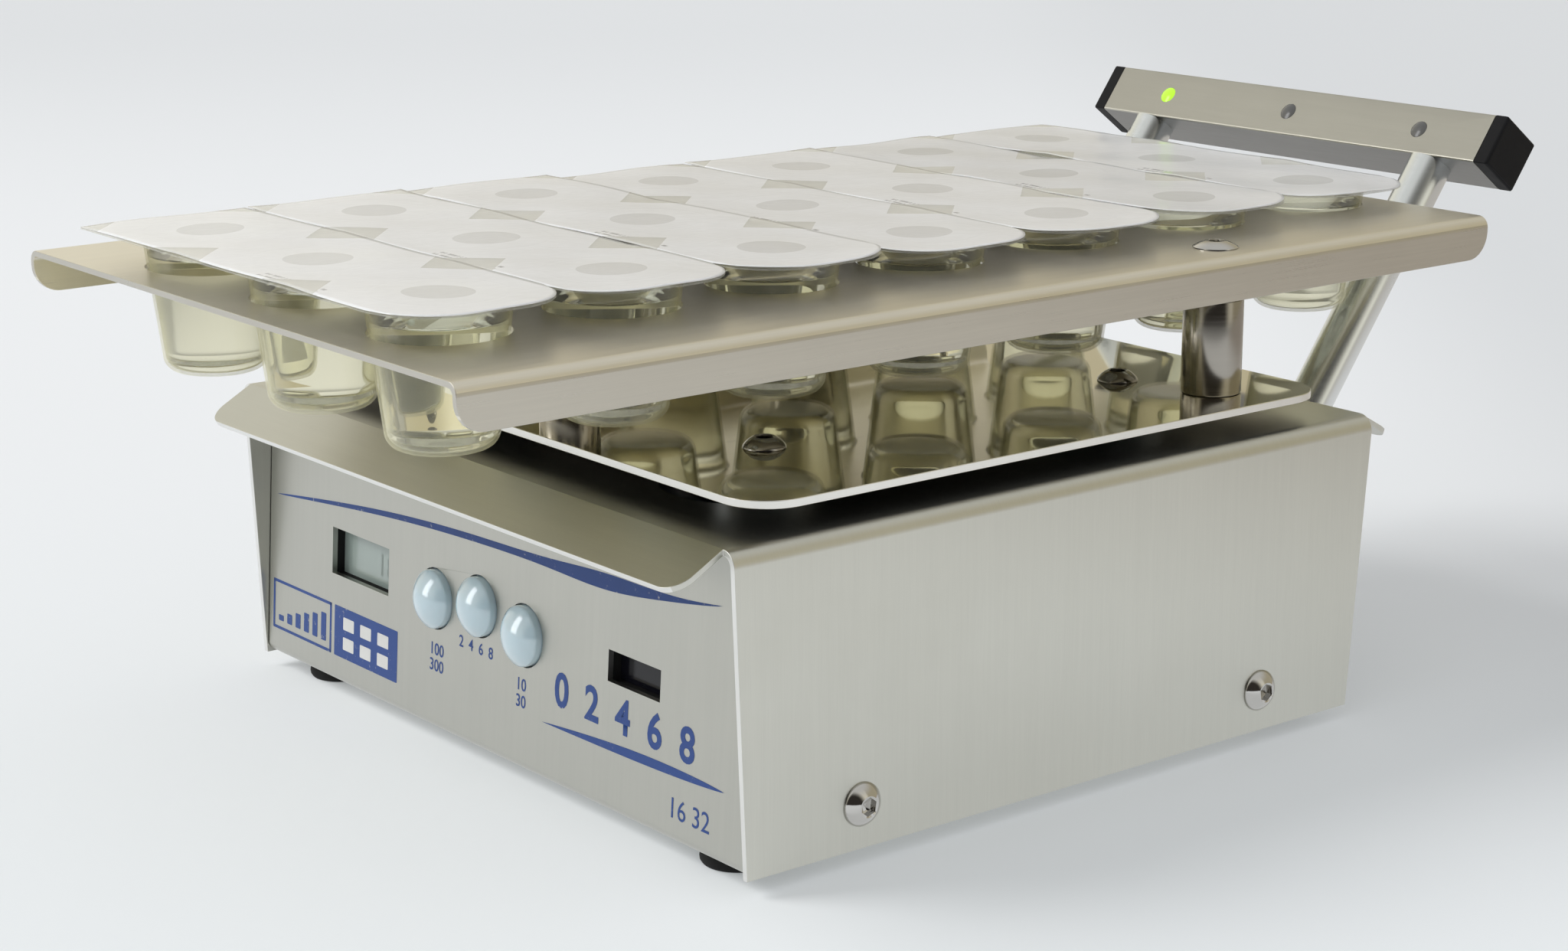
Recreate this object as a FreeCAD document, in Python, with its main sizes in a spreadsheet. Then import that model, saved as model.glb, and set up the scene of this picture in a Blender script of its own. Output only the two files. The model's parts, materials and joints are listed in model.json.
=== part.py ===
import FreeCAD, Part
import math
import os
import re
import Sketcher
from FreeCAD import Placement, Rotation, Vector

# Laboratory shaker: a stainless housing with an orbiting drive plate, a cup tray on posts,
# strips of sealed cups, and a lamp bar on two slanted legs behind the tray.
# Millimetres. X runs along the front, Y towards the back, Z up, Z = 0 is the bench.

# Driving dimensions
DRIVING = {
    # cover and chassis
    "cover_width": 216.0,
    "cover_depth": 196.0,
    "cover_height": 76.0,
    "cover_front": -118.0,
    "front_lean": 3.0,
    "rear_lean": 5.5,
    "floor_gap": 4.0,
    "gauge": 1.5,
    "cover_bend": 4.0,
    "lip_reach": 13.2,
    "lip_drop": 7.3,
    "lip_corner": 6.0,
    "cover_fit": 0.3,
    "floor_rise": 0.5,
    "panel_inset": 0.3,
    "panel_lean": 3.7,
    "rear_inset": 0.8,
    "chassis_bend": 2.5,
    "side_flange": 26.0,
    "return_width": 12.0,
    # front panel openings
    "display_x": -59.1,
    "display_z": 40.0,
    "display_width": 28.2,
    "display_height": 12.4,
    "sensor_x": 62.6,
    "sensor_z": 39.8,
    "sensor_width": 20.5,
    "sensor_height": 7.6,
    "gasket_border": 2.5,
    "gasket_depth": 2.8,
    "module_depth": 3.6,
    "button_x": -2.6,
    "button_z": 38.4,
    "button_pitch": 20.0,
    "button_raise": 2.6,
    "button_radius": 7.5,
    "button_gap": 0.4,
    "button_dome": 3.4,
    "button_proud": 1.6,
    "button_rim": 1.4,
    "button_stem": 0.8,
    "button_travel": 1.2,
    # feet
    "foot_radius": 9.0,
    "foot_inset": 20.0,
    "foot_front": 13.0,
    "foot_rear": 180.0,
    # screws
    "screw_side_z": 14.7,
    "screw_front": 32.9,
    "screw_rear": 163.1,
    "head_radius": 5.25,
    "head_height": 3.2,
    "shank_radius": 2.9,
    "hole_fit": 0.3,
    "socket_width": 4.0,
    "low_head_radius": 5.8,
    "low_head_height": 2.0,
    # drive
    "drive_y": -23.5,
    "orbit": 5.0,
    "crank_x": 61.0,
    "crank_y": 57.5,
    "deck_bottom": 42.0,
    "deck_thick": 8.0,
    "deck_inset": 12.0,
    "deck_front": -98.0,
    "deck_rear": 66.0,
    "deck_corner": 8.0,
    "pillar_inset": 20.0,
    "pillar_y": 60.0,
    "pillar_width": 10.0,
    "bearing_bore": 4.0,
    "bearing_outer": 11.0,
    "bearing_width": 7.0,
    "running_gap": 0.04,
    "seat_gap": 0.3,
    "boss_radius": 15.0,
    "boss_length": 16.0,
    "crank_disc": 11.0,
    "crank_thick": 6.0,
    "shoulder_radius": 5.5,
    "large_groove": 33.0,
    "small_groove": 8.0,
    "flange_height": 3.0,
    "belt_width": 6.0,
    "belt_thick": 1.5,
    "motor_y": 34.0,
    "motor_radius": 18.5,
    "motor_length": 33.0,
    "motor_shaft": 2.5,
    "weight_inner": 14.0,
    "weight_outer": 31.0,
    "weight_thick": 4.0,
    # platform
    "plate_gap": 5.4,
    "plate_thick": 2.0,
    "plate_width": 205.0,
    "plate_depth": 184.0,
    "plate_corner": 12.0,
    "plate_shift": 0.0,
    "hub_radius": 15.0,
    "hub_length": 19.4,
    "post_radius": 7.6,
    "post_neck": 6.0,
    "post_neck_length": 11.0,
    "post_height": 35.3,
    "post_x": 85.0,
    "tray_width": 196.5,
    "tray_length": 321.0,
    "tray_shift": -4.5,
    "tray_flange": 11.0,
    "tray_bend": 3.0,
    "tray_corner": 7.0,
    # cups
    "cup_pitch_x": 51.5,
    "cup_pitch_y": 45.8,
    "cup_shift": -2.0,
    "cup_hole": 16.0,
    "cup_fit": 0.25,
    "cup_taper": 0.1226,
    "cup_below": 27.7,
    "cup_above": 6.5,
    "cup_wall": 0.6,
    "cup_round": 4.0,
    "strip_length": 151.0,
    "strip_gap": 0.8,
    "strip_corner": 17.0,
    "film_thick": 0.3,
    "fill_above": 1.2,
    "strip_step": 1.0,
    "strip_fall": 0.25,
    # lamp
    "lamp_lean": 36.6,
    "lamp_foot_y": 103.8,
    "lamp_foot_z": 46.0,
    "leg_length": 105.0,
    "leg_radius": 6.1,
    "leg_wall": 1.5,
    "leg_inset": 18.1,
    "leg_forward": 2.4,
    "bar_size": 15.2,
    "bar_wall": 1.6,
    "bar_length": 144.2,
    "cap_length": 4.7,
    "lens_radius": 2.5,
    "lens_inset": 23.1,
    "lamp_board_inset": 12.1,
    "bracket_thick": 3.0,
    "bracket_width": 24.0,
    # electrics
    "inlet_x": -12.0,
    "inlet_z": 30.0,
    "inlet_flange_width": 31.0,
    "inlet_flange_height": 24.0,
    "inlet_body_width": 26.8,
    "inlet_body_height": 19.6,
    "switch_x": 30.0,
    "switch_tilt": 8.0,
    "board_thick": 1.6,
    "board_width": 184.0,
    "board_height": 46.0,
    "board_z": 37.0,
    "spacer_inset_x": 6.0,
    "spacer_inset_z": 5.0,
    "supply_x": -52.0,
    "supply_y": -24.0,
    "supply_width": 56.0,
    "supply_depth": 84.0,
    "supply_height": 26.0,
    "vent_width": 40.0,
    "vent_pitch": 11.0,
    "vent_height": 4.0,
    "vent_depth": 1.5,
}


class Size:
    """A length or angle that knows its value and the sheet expression behind it."""

    def __init__(self, value, text):
        self.value = value
        self.text = text

    def __add__(self, other):
        other = as_size(other)
        return Size(self.value + other.value, "(%s + %s)" % (self.text, other.text))

    def __radd__(self, other):
        return as_size(other) + self

    def __sub__(self, other):
        other = as_size(other)
        return Size(self.value - other.value, "(%s - %s)" % (self.text, other.text))

    def __rsub__(self, other):
        return as_size(other) - self

    def __mul__(self, other):
        other = as_size(other)
        return Size(self.value * other.value, "(%s * %s)" % (self.text, other.text))

    def __rmul__(self, other):
        return as_size(other) * self

    def __truediv__(self, other):
        other = as_size(other)
        return Size(self.value / other.value, "(%s / %s)" % (self.text, other.text))

    def __neg__(self):
        return Size(-self.value, "(0 - %s)" % self.text)


def as_size(number):
    """Plain numbers become sizes with no link to the sheet."""
    if isinstance(number, Size):
        return number
    return Size(float(number), repr(float(number)))


def sine(angle):
    return Size(math.sin(math.radians(angle.value)), "sin(%s * 1 deg)" % angle.text)


def cosine(angle):
    return Size(math.cos(math.radians(angle.value)), "cos(%s * 1 deg)" % angle.text)


def tangent(angle):
    return Size(math.tan(math.radians(angle.value)), "tan(%s * 1 deg)" % angle.text)


class Sheet:
    """The document's spreadsheet; each driving dimension is read as an attribute."""

    def __init__(self, document, values):
        self.cells = document.addObject("Spreadsheet::Sheet", "Sizes")
        for row, (name, value) in enumerate(values.items(), start=1):
            self.cells.set("A%d" % row, name)
            self.cells.set("B%d" % row, repr(value))
            self.cells.setAlias("B%d" % row, name)
            setattr(self, name, Size(value, "Sizes." + name))


doc = FreeCAD.newDocument("laboratory_shaker")
s = Sheet(doc, DRIVING)
doc.recompute()
nodes = []


# Helpers for bodies, sketches and features

def bind(thing, name, size):
    """Sets a property and ties it to the sheet."""
    size = as_size(size)
    if "Sizes." in size.text:
        thing.setExpression(name, size.text)
    else:
        setattr(thing, name, size.value)


def keep(thing, label):
    """Names an object and puts it on the list of pieces to write."""
    thing.Label = label
    nodes.append(thing)
    return thing


def new_body(name):
    return doc.addObject("PartDesign::Body", name)


def place(thing, x=0.0, y=0.0, z=0.0, lean=None):
    """Puts a piece at x, y, z, leaning back about the X axis."""
    for axis, size in zip("xyz", (x, y, z)):
        thing.setExpression("Placement.Base." + axis, as_size(size).text)
    if lean is not None:
        thing.Placement = Placement(Vector(0, 0, 0), Rotation(Vector(1, 0, 0), -lean.value))
        thing.setExpression("Placement.Rotation.Angle", "(0 - %s) * 1 deg" % lean.text)
    return thing


def new_sketch(body, role, offset=0.0):
    """A sketch on one of the body's origin planes, moved along the plane's normal."""
    sketch = body.newObject("Sketcher::SketchObject", body.Name + "_sketch")
    plane = [item for item in body.Origin.OriginFeatures if item.Role == role][0]
    sketch.AttachmentSupport = (plane, [""])
    sketch.MapMode = "FlatFace"
    offset = as_size(offset)
    sketch.AttachmentOffset = Placement(Vector(0, 0, offset.value), Rotation())
    if "Sizes." in offset.text:
        sketch.setExpression("AttachmentOffset.Base.z", offset.text)
    return sketch


def pin_down(sketch, geometry, point, x, y):
    """Fixes one point of the sketch at x, y from the origin."""
    for kind, size in (("DistanceX", as_size(x)), ("DistanceY", as_size(y))):
        index = sketch.addConstraint(Sketcher.Constraint(kind, -1, 1, geometry, point, size.value))
        if "Sizes." in size.text:
            name = "%s_%d_%d" % (kind, geometry, point)
            sketch.renameConstraint(index, name)
            sketch.setExpression("Constraints." + name, size.text)


def arc_between(start, end, radius):
    """The short arc from start to end that curves left, or right if the radius is negative."""
    chord = end - start
    left = Vector(-chord.y, chord.x, 0).normalize()
    reach = math.sqrt(max(radius ** 2 - (chord.Length / 2) ** 2, 0))
    centre = (start + end) / 2 + left * math.copysign(reach, radius)
    first, last = (start, end) if radius > 0 else (end, start)
    angles = [math.atan2(point.y - centre.y, point.x - centre.x) for point in (first, last)]
    return Part.ArcOfCircle(Part.Circle(centre, Vector(0, 0, 1), abs(radius)), *angles)


def polygon(sketch, points):
    """A closed outline through the points; a third value is the radius of an arc to the next."""
    corners = [tuple(as_size(part) for part in point) for point in points]
    spots = [Vector(corner[0].value, corner[1].value, 0) for corner in corners]
    first = sketch.GeometryCount
    ends = []
    for index, corner in enumerate(corners):
        following = spots[(index + 1) % len(spots)]
        curved = len(corner) == 3
        shape = (arc_between(spots[index], following, corner[2].value) if curved
                 else Part.LineSegment(spots[index], following))
        sketch.addGeometry(shape, False)
        ends.append((2, 1) if curved and corner[2].value < 0 else (1, 2))
    for index, corner in enumerate(corners):
        following = (index + 1) % len(corners)
        sketch.addConstraint(Sketcher.Constraint("Coincident", first + index, ends[index][1],
                                                 first + following, ends[following][0]))
        pin_down(sketch, first + index, ends[index][0], corner[0], corner[1])
        if len(corner) == 3:
            fix_radius(sketch, first + index, corner[2] if corner[2].value > 0 else -corner[2])
    return sketch


def fix_radius(sketch, geometry, radius):
    """Fixes the radius of a circle or an arc."""
    index = sketch.addConstraint(Sketcher.Constraint("Radius", geometry, radius.value))
    if "Sizes." in radius.text:
        name = "Radius_%d" % geometry
        sketch.renameConstraint(index, name)
        sketch.setExpression("Constraints." + name, radius.text)


def rectangle(sketch, x0, y0, x1, y1):
    return polygon(sketch, [(x0, y0), (x1, y0), (x1, y1), (x0, y1)])


def circle(sketch, x, y, radius):
    x, y, radius = as_size(x), as_size(y), as_size(radius)
    shape = Part.Circle(Vector(x.value, y.value, 0), Vector(0, 0, 1), radius.value)
    index = sketch.addGeometry(shape, False)
    pin_down(sketch, index, 3, x, y)
    fix_radius(sketch, index, radius)
    return sketch


def pad(body, sketch, length, both=False, reverse=False):
    feature = body.newObject("PartDesign::Pad", body.Name + "_pad")
    feature.Profile = sketch
    feature.SideType = "Symmetric" if both else "One side"
    feature.Reversed = reverse
    bind(feature, "Length", length)
    return feature


def pocket(body, sketch, depth=None, both=False, reverse=False):
    """Cuts the sketch out of the body; no depth means right through, both ways if asked."""
    feature = body.newObject("PartDesign::Pocket", body.Name + "_pocket")
    feature.Profile = sketch
    feature.SideType = "Symmetric" if both else "One side"
    feature.Reversed = reverse
    if depth is None:
        feature.Type = "ThroughAll"
    else:
        bind(feature, "Length", depth)
    return feature


def revolve(body, points, role="XZ_Plane"):
    """Turns a closed half outline about the body's Z axis."""
    sketch = polygon(new_sketch(body, role), points)
    feature = body.newObject("PartDesign::Revolution", body.Name + "_turned")
    feature.Profile = sketch
    feature.ReferenceAxis = (sketch, ["V_Axis"])
    feature.Angle = 360
    return feature


def round_edges(body, radius, wanted):
    """Fillets the body's edges for which wanted(edge) is true."""
    doc.recompute()
    base = body.Tip
    names = ["Edge%d" % (index + 1) for index, edge in enumerate(base.Shape.Edges) if wanted(edge)]
    feature = body.newObject("PartDesign::Fillet", body.Name + "_fillet")
    feature.Base = (base, names)
    bind(feature, "Radius", radius)
    doc.recompute()
    return feature


def straight_along(edge, axis):
    """Whether an edge is a straight line along the axis."""
    if edge.Curve.TypeId != "Part::GeomLine":
        return False
    direction = edge.Curve.Direction
    return abs(abs(direction.dot(axis)) - 1.0) < 1e-6


def edge_at(edge, **place_values):
    """Whether the middle of an edge has the given x, y or z."""
    middle = edge.BoundBox.Center
    return all(abs(getattr(middle, axis) - value) < 1e-3 for axis, value in place_values.items())


def cylinder(name, radius, height, x=0.0, y=0.0, z=0.0):
    thing = doc.addObject("Part::Cylinder", name)
    bind(thing, "Radius", radius)
    bind(thing, "Height", height)
    return place(thing, x, y, z)


def cut(name, base, tool):
    thing = doc.addObject("Part::Cut", name)
    thing.Base = base
    thing.Tool = tool
    return thing


def group(label, copies):
    """One node of separate solids: (seed object, placement) pairs."""
    doc.recompute()
    thing = doc.addObject("Part::Feature", label)
    thing.Shape = Part.makeCompound([seed.Shape.transformed(where.toMatrix(), True)
                                     for seed, where in copies])
    return keep(thing, label)


def at(x, y, z, turn=None):
    """A placement from sizes or plain numbers."""
    base = Vector(as_size(x).value, as_size(y).value, as_size(z).value)
    return Placement(base, turn or Rotation())


X_AXIS = Vector(1, 0, 0)
Y_AXIS = Vector(0, 1, 0)
Z_AXIS = Vector(0, 0, 1)

# Levels and lines that several pieces share
cover_bottom = s.floor_gap
cover_top = s.floor_gap + s.cover_height
cover_half = s.cover_width / 2
cover_inner = cover_half - s.gauge
cover_rear = s.cover_front + s.cover_depth
top_front = s.cover_front - s.front_lean
top_rear = cover_rear + s.rear_lean
floor_bottom = cover_bottom + s.floor_rise
floor_top = floor_bottom + s.gauge
chassis_half = cover_inner - s.cover_fit
panel_y = s.cover_front + s.panel_inset
panel_top = cover_top - s.gauge - s.cover_fit
rear_y = cover_rear - s.rear_inset
deck_top = s.deck_bottom + s.deck_thick
plate_bottom = cover_top + s.plate_gap
plate_top = plate_bottom + s.plate_thick
tray_top = plate_top + s.post_height + s.gauge
hub_bottom = plate_bottom - s.hub_length
hub_y = s.drive_y + s.orbit
plate_y = hub_y + s.plate_shift
tray_y = hub_y + s.tray_shift
cup_y = hub_y + s.cup_shift
cup_bottom = tray_top - s.cup_below
cup_rim = tray_top + s.cup_above
bearing_bottom = deck_top - s.bearing_width
pulley_bottom = deck_top + 2.0
groove_bottom = pulley_bottom + 1.0
groove_top = groove_bottom + s.belt_width + 1.0
pulley_top = groove_top + 1.0
button_back = s.gauge + s.seat_gap + s.button_rim
foot_x = cover_half - s.foot_inset
pillar_x = cover_half - s.pillar_inset
deck_half = cover_half - s.deck_inset
leg_x = s.bar_length / 2 - s.leg_inset
lens_pitch = s.bar_length / 2 - s.lens_inset
HUBS = [(0, 0), (-1, -1), (1, -1), (-1, 1), (1, 1)]
ROWS = range(7)
COLUMNS = (-1, 0, 1)


def hub_place(index, y):
    """X and Y of one of the five crank axes about the line y."""
    across, along = HUBS[index]
    return s.crank_x * across, y + s.crank_y * along


def row_y(row):
    """Y of a row of cups, counted from the front."""
    return cup_y + s.cup_pitch_y * (row - 3)


# Fasteners

def button_screw(name, radius, height, shank, length, socket=None):
    """A button head screw, head up, with its bearing face at Z = 0."""
    body = new_body(name)
    radius, height, shank = as_size(radius), as_size(height), as_size(shank)
    side = height * 0.12
    revolve(body, [(0, 0 - as_size(length)), (shank, 0 - as_size(length)), (shank, 0), (radius, 0),
                   (radius, side, cap_radius(radius, height - side)), (0, height)])
    if socket is not None:
        sketch = new_sketch(body, "XY_Plane", height)
        corners = [(socket / 2 * (math.cos(math.radians(60 * k)) / math.cos(math.radians(30))),
                    socket / 2 * (math.sin(math.radians(60 * k)) / math.cos(math.radians(30))))
                   for k in range(6)]
        pocket(body, polygon(sketch, corners), height * 0.6)
    return body


def cap_radius(edge, height):
    """Radius of the sphere whose cap has this edge radius and height."""
    return (edge * edge + height * height) / (height * 2)


def countersunk_screw(name, radius, height, shank, length):
    """A countersunk screw, head up, with its flat top at Z = 0."""
    body = new_body(name)
    revolve(body, [(0, 0 - as_size(length)), (shank, 0 - as_size(length)),
                   (shank, 0 - as_size(height)), (radius, 0), (0, 0)])
    return body


cover_screw = button_screw("cover_screw", s.head_radius, s.head_height, s.shank_radius, 10,
                           s.socket_width)
plate_screw = button_screw("plate_screw", s.head_radius, s.head_height, s.shank_radius, 7,
                           s.socket_width)
tray_screw = button_screw("tray_screw", s.low_head_radius, s.low_head_height, s.shank_radius, 12,
                          s.socket_width)
small_screw = button_screw("small_screw", 4.2, 2.4, 2.4, 9)
motor_screw = button_screw("motor_screw", 2.7, 1.8, 1.4, 12)
post_screw = countersunk_screw("post_screw", 4.8, 1.8, s.shank_radius, 12)

screw_ys = [s.cover_front + s.screw_front, s.cover_front + s.screw_rear]
foot_ys = [s.cover_front + s.foot_front, s.cover_front + s.foot_rear]
SIDES = (-1, 1)


def turned_to_side(side):
    """Turns a screw's head outwards to the left or the right."""
    return Rotation(Y_AXIS, 90 * side)


# Housing

def build_top_cover():
    """One bent sheet: top, two sides that lean at both ends, and a lip at front and rear."""
    body = new_body("top_cover")
    length = top_rear - top_front
    outline = [(0 - cover_half, cover_bottom), (cover_inner * -1, cover_bottom),
               (cover_inner * -1, cover_top - s.gauge), (cover_inner, cover_top - s.gauge),
               (cover_inner, cover_bottom), (cover_half, cover_bottom),
               (cover_half, cover_top), (0 - cover_half, cover_top)]
    pad(body, polygon(new_sketch(body, "XZ_Plane", 0 - top_rear), outline), length)
    top = cover_top.value
    outer = s.cover_bend
    round_edges(body, outer, lambda edge: straight_along(edge, Y_AXIS)
                and edge_at(edge, z=top) and abs(abs(edge.BoundBox.Center.x) - cover_half.value) < 1e-3)
    round_edges(body, outer - s.gauge, lambda edge: straight_along(edge, Y_AXIS)
                and edge_at(edge, z=top - s.gauge.value)
                and abs(abs(edge.BoundBox.Center.x) - cover_inner.value) < 1e-3)
    side_top = cover_top - outer
    sketch = new_sketch(body, "YZ_Plane")
    polygon(sketch, [(top_front, side_top), (s.cover_front, cover_bottom), (top_front, cover_bottom)])
    polygon(sketch, [(top_rear, side_top), (top_rear, cover_bottom), (cover_rear, cover_bottom)])
    pocket(body, sketch, both=True)
    flat_half = cover_half - outer
    for edge_y, way in ((top_front, -1), (top_rear, 1)):
        lip = new_sketch(body, "YZ_Plane")
        tip_y = edge_y + s.lip_reach * way
        tip_z = cover_top - s.lip_drop
        polygon(lip, [(edge_y, cover_top), (edge_y, cover_top - s.gauge),
                      (tip_y - s.gauge * 0.45 * way, tip_z - s.gauge * 0.9), (tip_y, tip_z)])
        pad(body, lip, flat_half * 2, both=True)
        tip = tip_y.value
        round_edges(body, s.lip_corner, lambda edge: edge.Curve.TypeId == "Part::GeomLine"
                    and abs(edge.Length - s.gauge.value) < 0.3
                    and abs(abs(edge.BoundBox.Center.x) - flat_half.value) < 1e-3
                    and abs(edge.BoundBox.Center.y - tip) < 2.0)
    sketch = new_sketch(body, "XY_Plane", cover_top - s.gauge)
    hub_hole = s.hub_radius + s.orbit + 1.0
    for index in range(len(HUBS)):
        circle(sketch, *hub_place(index, s.drive_y), hub_hole)
    pocket(body, sketch, s.gauge + 1.0, reverse=True)
    sketch = new_sketch(body, "YZ_Plane")
    for y in screw_ys:
        circle(sketch, y, s.screw_side_z, s.shank_radius + s.hole_fit)
    pocket(body, sketch, both=True)
    return keep(body, "top_cover")


def build_chassis():
    """One bent sheet: floor, leaning front panel with its openings, rear panel, side flanges."""
    body = new_body("chassis")
    rise = panel_top - floor_bottom
    set_back = rise * tangent(s.panel_lean)
    across = s.gauge / cosine(s.panel_lean)
    corner = s.gauge * (1 - math.tan(math.radians(s.panel_lean.value)))
    outline = [(panel_y, floor_bottom), (rear_y, floor_bottom), (rear_y, panel_top),
               (rear_y - s.gauge, panel_top), (rear_y - s.gauge, floor_top),
               (panel_y + across + corner * 0.06, floor_top),
               (panel_y + set_back + across, panel_top), (panel_y + set_back, panel_top)]
    pad(body, polygon(new_sketch(body, "YZ_Plane"), outline), chassis_half * 2, both=True)
    low = floor_bottom.value
    round_edges(body, s.chassis_bend, lambda edge: straight_along(edge, X_AXIS)
                and abs(edge.BoundBox.Center.z - low) < 1e-3)
    high = panel_top.value
    round_edges(body, s.cover_bend, lambda edge: straight_along(edge, Y_AXIS)
                and abs(edge.BoundBox.Center.z - high) < 1e-3)
    flange_front = panel_y + across + s.chassis_bend
    flange_rear = rear_y - s.gauge - 1.0
    for side in SIDES:
        sketch = new_sketch(body, "YZ_Plane", chassis_half * side)
        rectangle(sketch, flange_front, floor_bottom + 1.0, flange_rear, floor_top + s.side_flange)
        pad(body, sketch, s.gauge, reverse=side > 0)
        sketch = new_sketch(body, "YZ_Plane", chassis_half * side)
        back = panel_y + set_back + across
        polygon(sketch, [(panel_y + across * 0.5, floor_top), (flange_front, floor_top),
                         (back + s.return_width, panel_top - 2.0), (back - across * 0.5, panel_top - 2.0)])
        pad(body, sketch, s.gauge, reverse=side > 0)
    sketch = new_sketch(body, "XZ_Plane", 0 - panel_y - 20)
    for x, z, width, height in ((s.display_x, s.display_z, s.display_width, s.display_height),
                                (s.sensor_x, s.sensor_z, s.sensor_width, s.sensor_height)):
        rectangle(sketch, x - width / 2, z - height / 2, x + width / 2, z + height / 2)
    for x, z in button_places():
        circle(sketch, x, z, s.button_radius + s.button_gap)
    pocket(body, sketch, 24, reverse=True)
    sketch = new_sketch(body, "XZ_Plane", 0 - rear_y + 5)
    across, up = s.inlet_body_width / 2 + 0.2, s.inlet_body_height / 2 + 0.2
    rectangle(sketch, s.inlet_x - across, s.inlet_z - up, s.inlet_x + across, s.inlet_z + up)
    rectangle(sketch, s.switch_x - 6.5, s.inlet_z - 9.5, s.switch_x + 6.5, s.inlet_z + 9.5)
    for side in SIDES:
        for z in bracket_screw_zs():
            circle(sketch, leg_x * side, z, 2.7)
    pocket(body, sketch, 10)
    sketch = new_sketch(body, "YZ_Plane")
    for y in screw_ys:
        circle(sketch, y, s.screw_side_z, s.shank_radius + s.hole_fit)
    pocket(body, sketch, both=True)
    sketch = new_sketch(body, "XY_Plane", floor_top)
    for side in SIDES:
        for y in foot_ys:
            circle(sketch, foot_x * side, y, 2.7)
        for along in SIDES:
            circle(sketch, pillar_x * side, s.drive_y + s.pillar_y * along, 2.7)
    pocket(body, sketch, s.gauge + 1.0)
    return keep(body, "chassis")


def button_places():
    """Centres of the three buttons; the middle one stands higher."""
    return [(s.button_x + s.button_pitch * k, s.button_z + (s.button_raise if k == 0 else 0.0))
            for k in COLUMNS]


def bracket_screw_zs():
    """Heights of a leg bracket's two screws, below its slanted arm."""
    return [bracket_root_z() - drop for drop in (13.5, 25.0)]


def bracket_root_z():
    """Height at which the slanted arm of a leg bracket leaves the rear panel."""
    return s.lamp_foot_z + (s.lamp_foot_y - rear_y) * tangent(s.lamp_lean)


def build_screws_and_feet():
    copies = []
    for side in SIDES:
        for y in screw_ys:
            copies.append((cover_screw, at(cover_half * side, y, s.screw_side_z, turned_to_side(side))))
    group("cover_screws", copies)

    ring = cylinder("nut_ring", 5.0, 4.0)
    core = cylinder("nut_core", s.shank_radius + 0.1, 6.0, z=-1.0)
    nut = cut("clinch_nut", ring, core)
    inner = chassis_half - s.gauge
    group("clinch_nuts", [(nut, at((inner - 4.0 if side > 0 else inner * -1), y, s.screw_side_z,
                                   Rotation(Y_AXIS, 90))) for side in SIDES for y in screw_ys])

    foot = new_body("rubber_foot")
    revolve(foot, [(2.3, 1.6), (5.0, 1.6), (5.0, 0), (s.foot_radius - 1.0, 0, 1.0),
                   (s.foot_radius, 1.0), (s.foot_radius - 0.6, floor_bottom), (2.3, floor_bottom)])
    spots = [(foot_x * side, y) for side in SIDES for y in foot_ys]
    group("rubber_feet", [(foot, at(x, y, 0)) for x, y in spots])
    foot_screw = new_body("foot_screw")
    revolve(foot_screw, [(0, 0.5), (4.0, 0.5), (4.0, 1.6), (2.0, 1.6), (2.0, floor_top + 3.0),
                         (0, floor_top + 3.0)])
    group("foot_screws", [(foot_screw, at(x, y, 0)) for x, y in spots])


# Mechanism inside the housing

def build_deck():
    """The mechanism plate, with a boss below its centre for the main shaft's second bearing."""
    body = new_body("mechanism_plate")
    sketch = rectangle(new_sketch(body, "XY_Plane", s.deck_bottom), deck_half * -1, s.deck_front,
                       deck_half, s.deck_rear)
    pad(body, sketch, s.deck_thick)
    pad(body, circle(new_sketch(body, "XY_Plane", s.deck_bottom), 0, s.drive_y, s.boss_radius),
        s.boss_length, reverse=True)
    round_edges(body, s.deck_corner, lambda edge: straight_along(edge, Z_AXIS)
                and abs(abs(edge.BoundBox.Center.x) - deck_half.value) < 1e-3)
    sketch = new_sketch(body, "XY_Plane", deck_top)
    for index in range(len(HUBS)):
        circle(sketch, *hub_place(index, s.drive_y), s.bearing_outer)
    pocket(body, sketch, s.bearing_width)
    sketch = new_sketch(body, "XY_Plane", deck_top)
    for index in range(len(HUBS)):
        circle(sketch, *hub_place(index, s.drive_y), s.bearing_outer - 2.0)
    circle(sketch, 0, s.motor_y, 6.4)
    for side in SIDES:
        for along in SIDES:
            circle(sketch, pillar_x * side, s.drive_y + s.pillar_y * along, 2.6)
    for x, y in motor_screw_places():
        circle(sketch, x, y, 1.6)
    pocket(body, sketch)
    sketch = circle(new_sketch(body, "XY_Plane", s.deck_bottom - s.boss_length), 0, s.drive_y,
                    s.bearing_outer)
    pocket(body, sketch, s.bearing_width + 0.5, reverse=True)
    return keep(body, "mechanism_plate")


def motor_screw_places():
    reach = 14.0
    return [(reach * math.cos(angle), s.motor_y + reach * math.sin(angle))
            for angle in (math.radians(45 + 90 * k) for k in range(4))]


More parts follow.
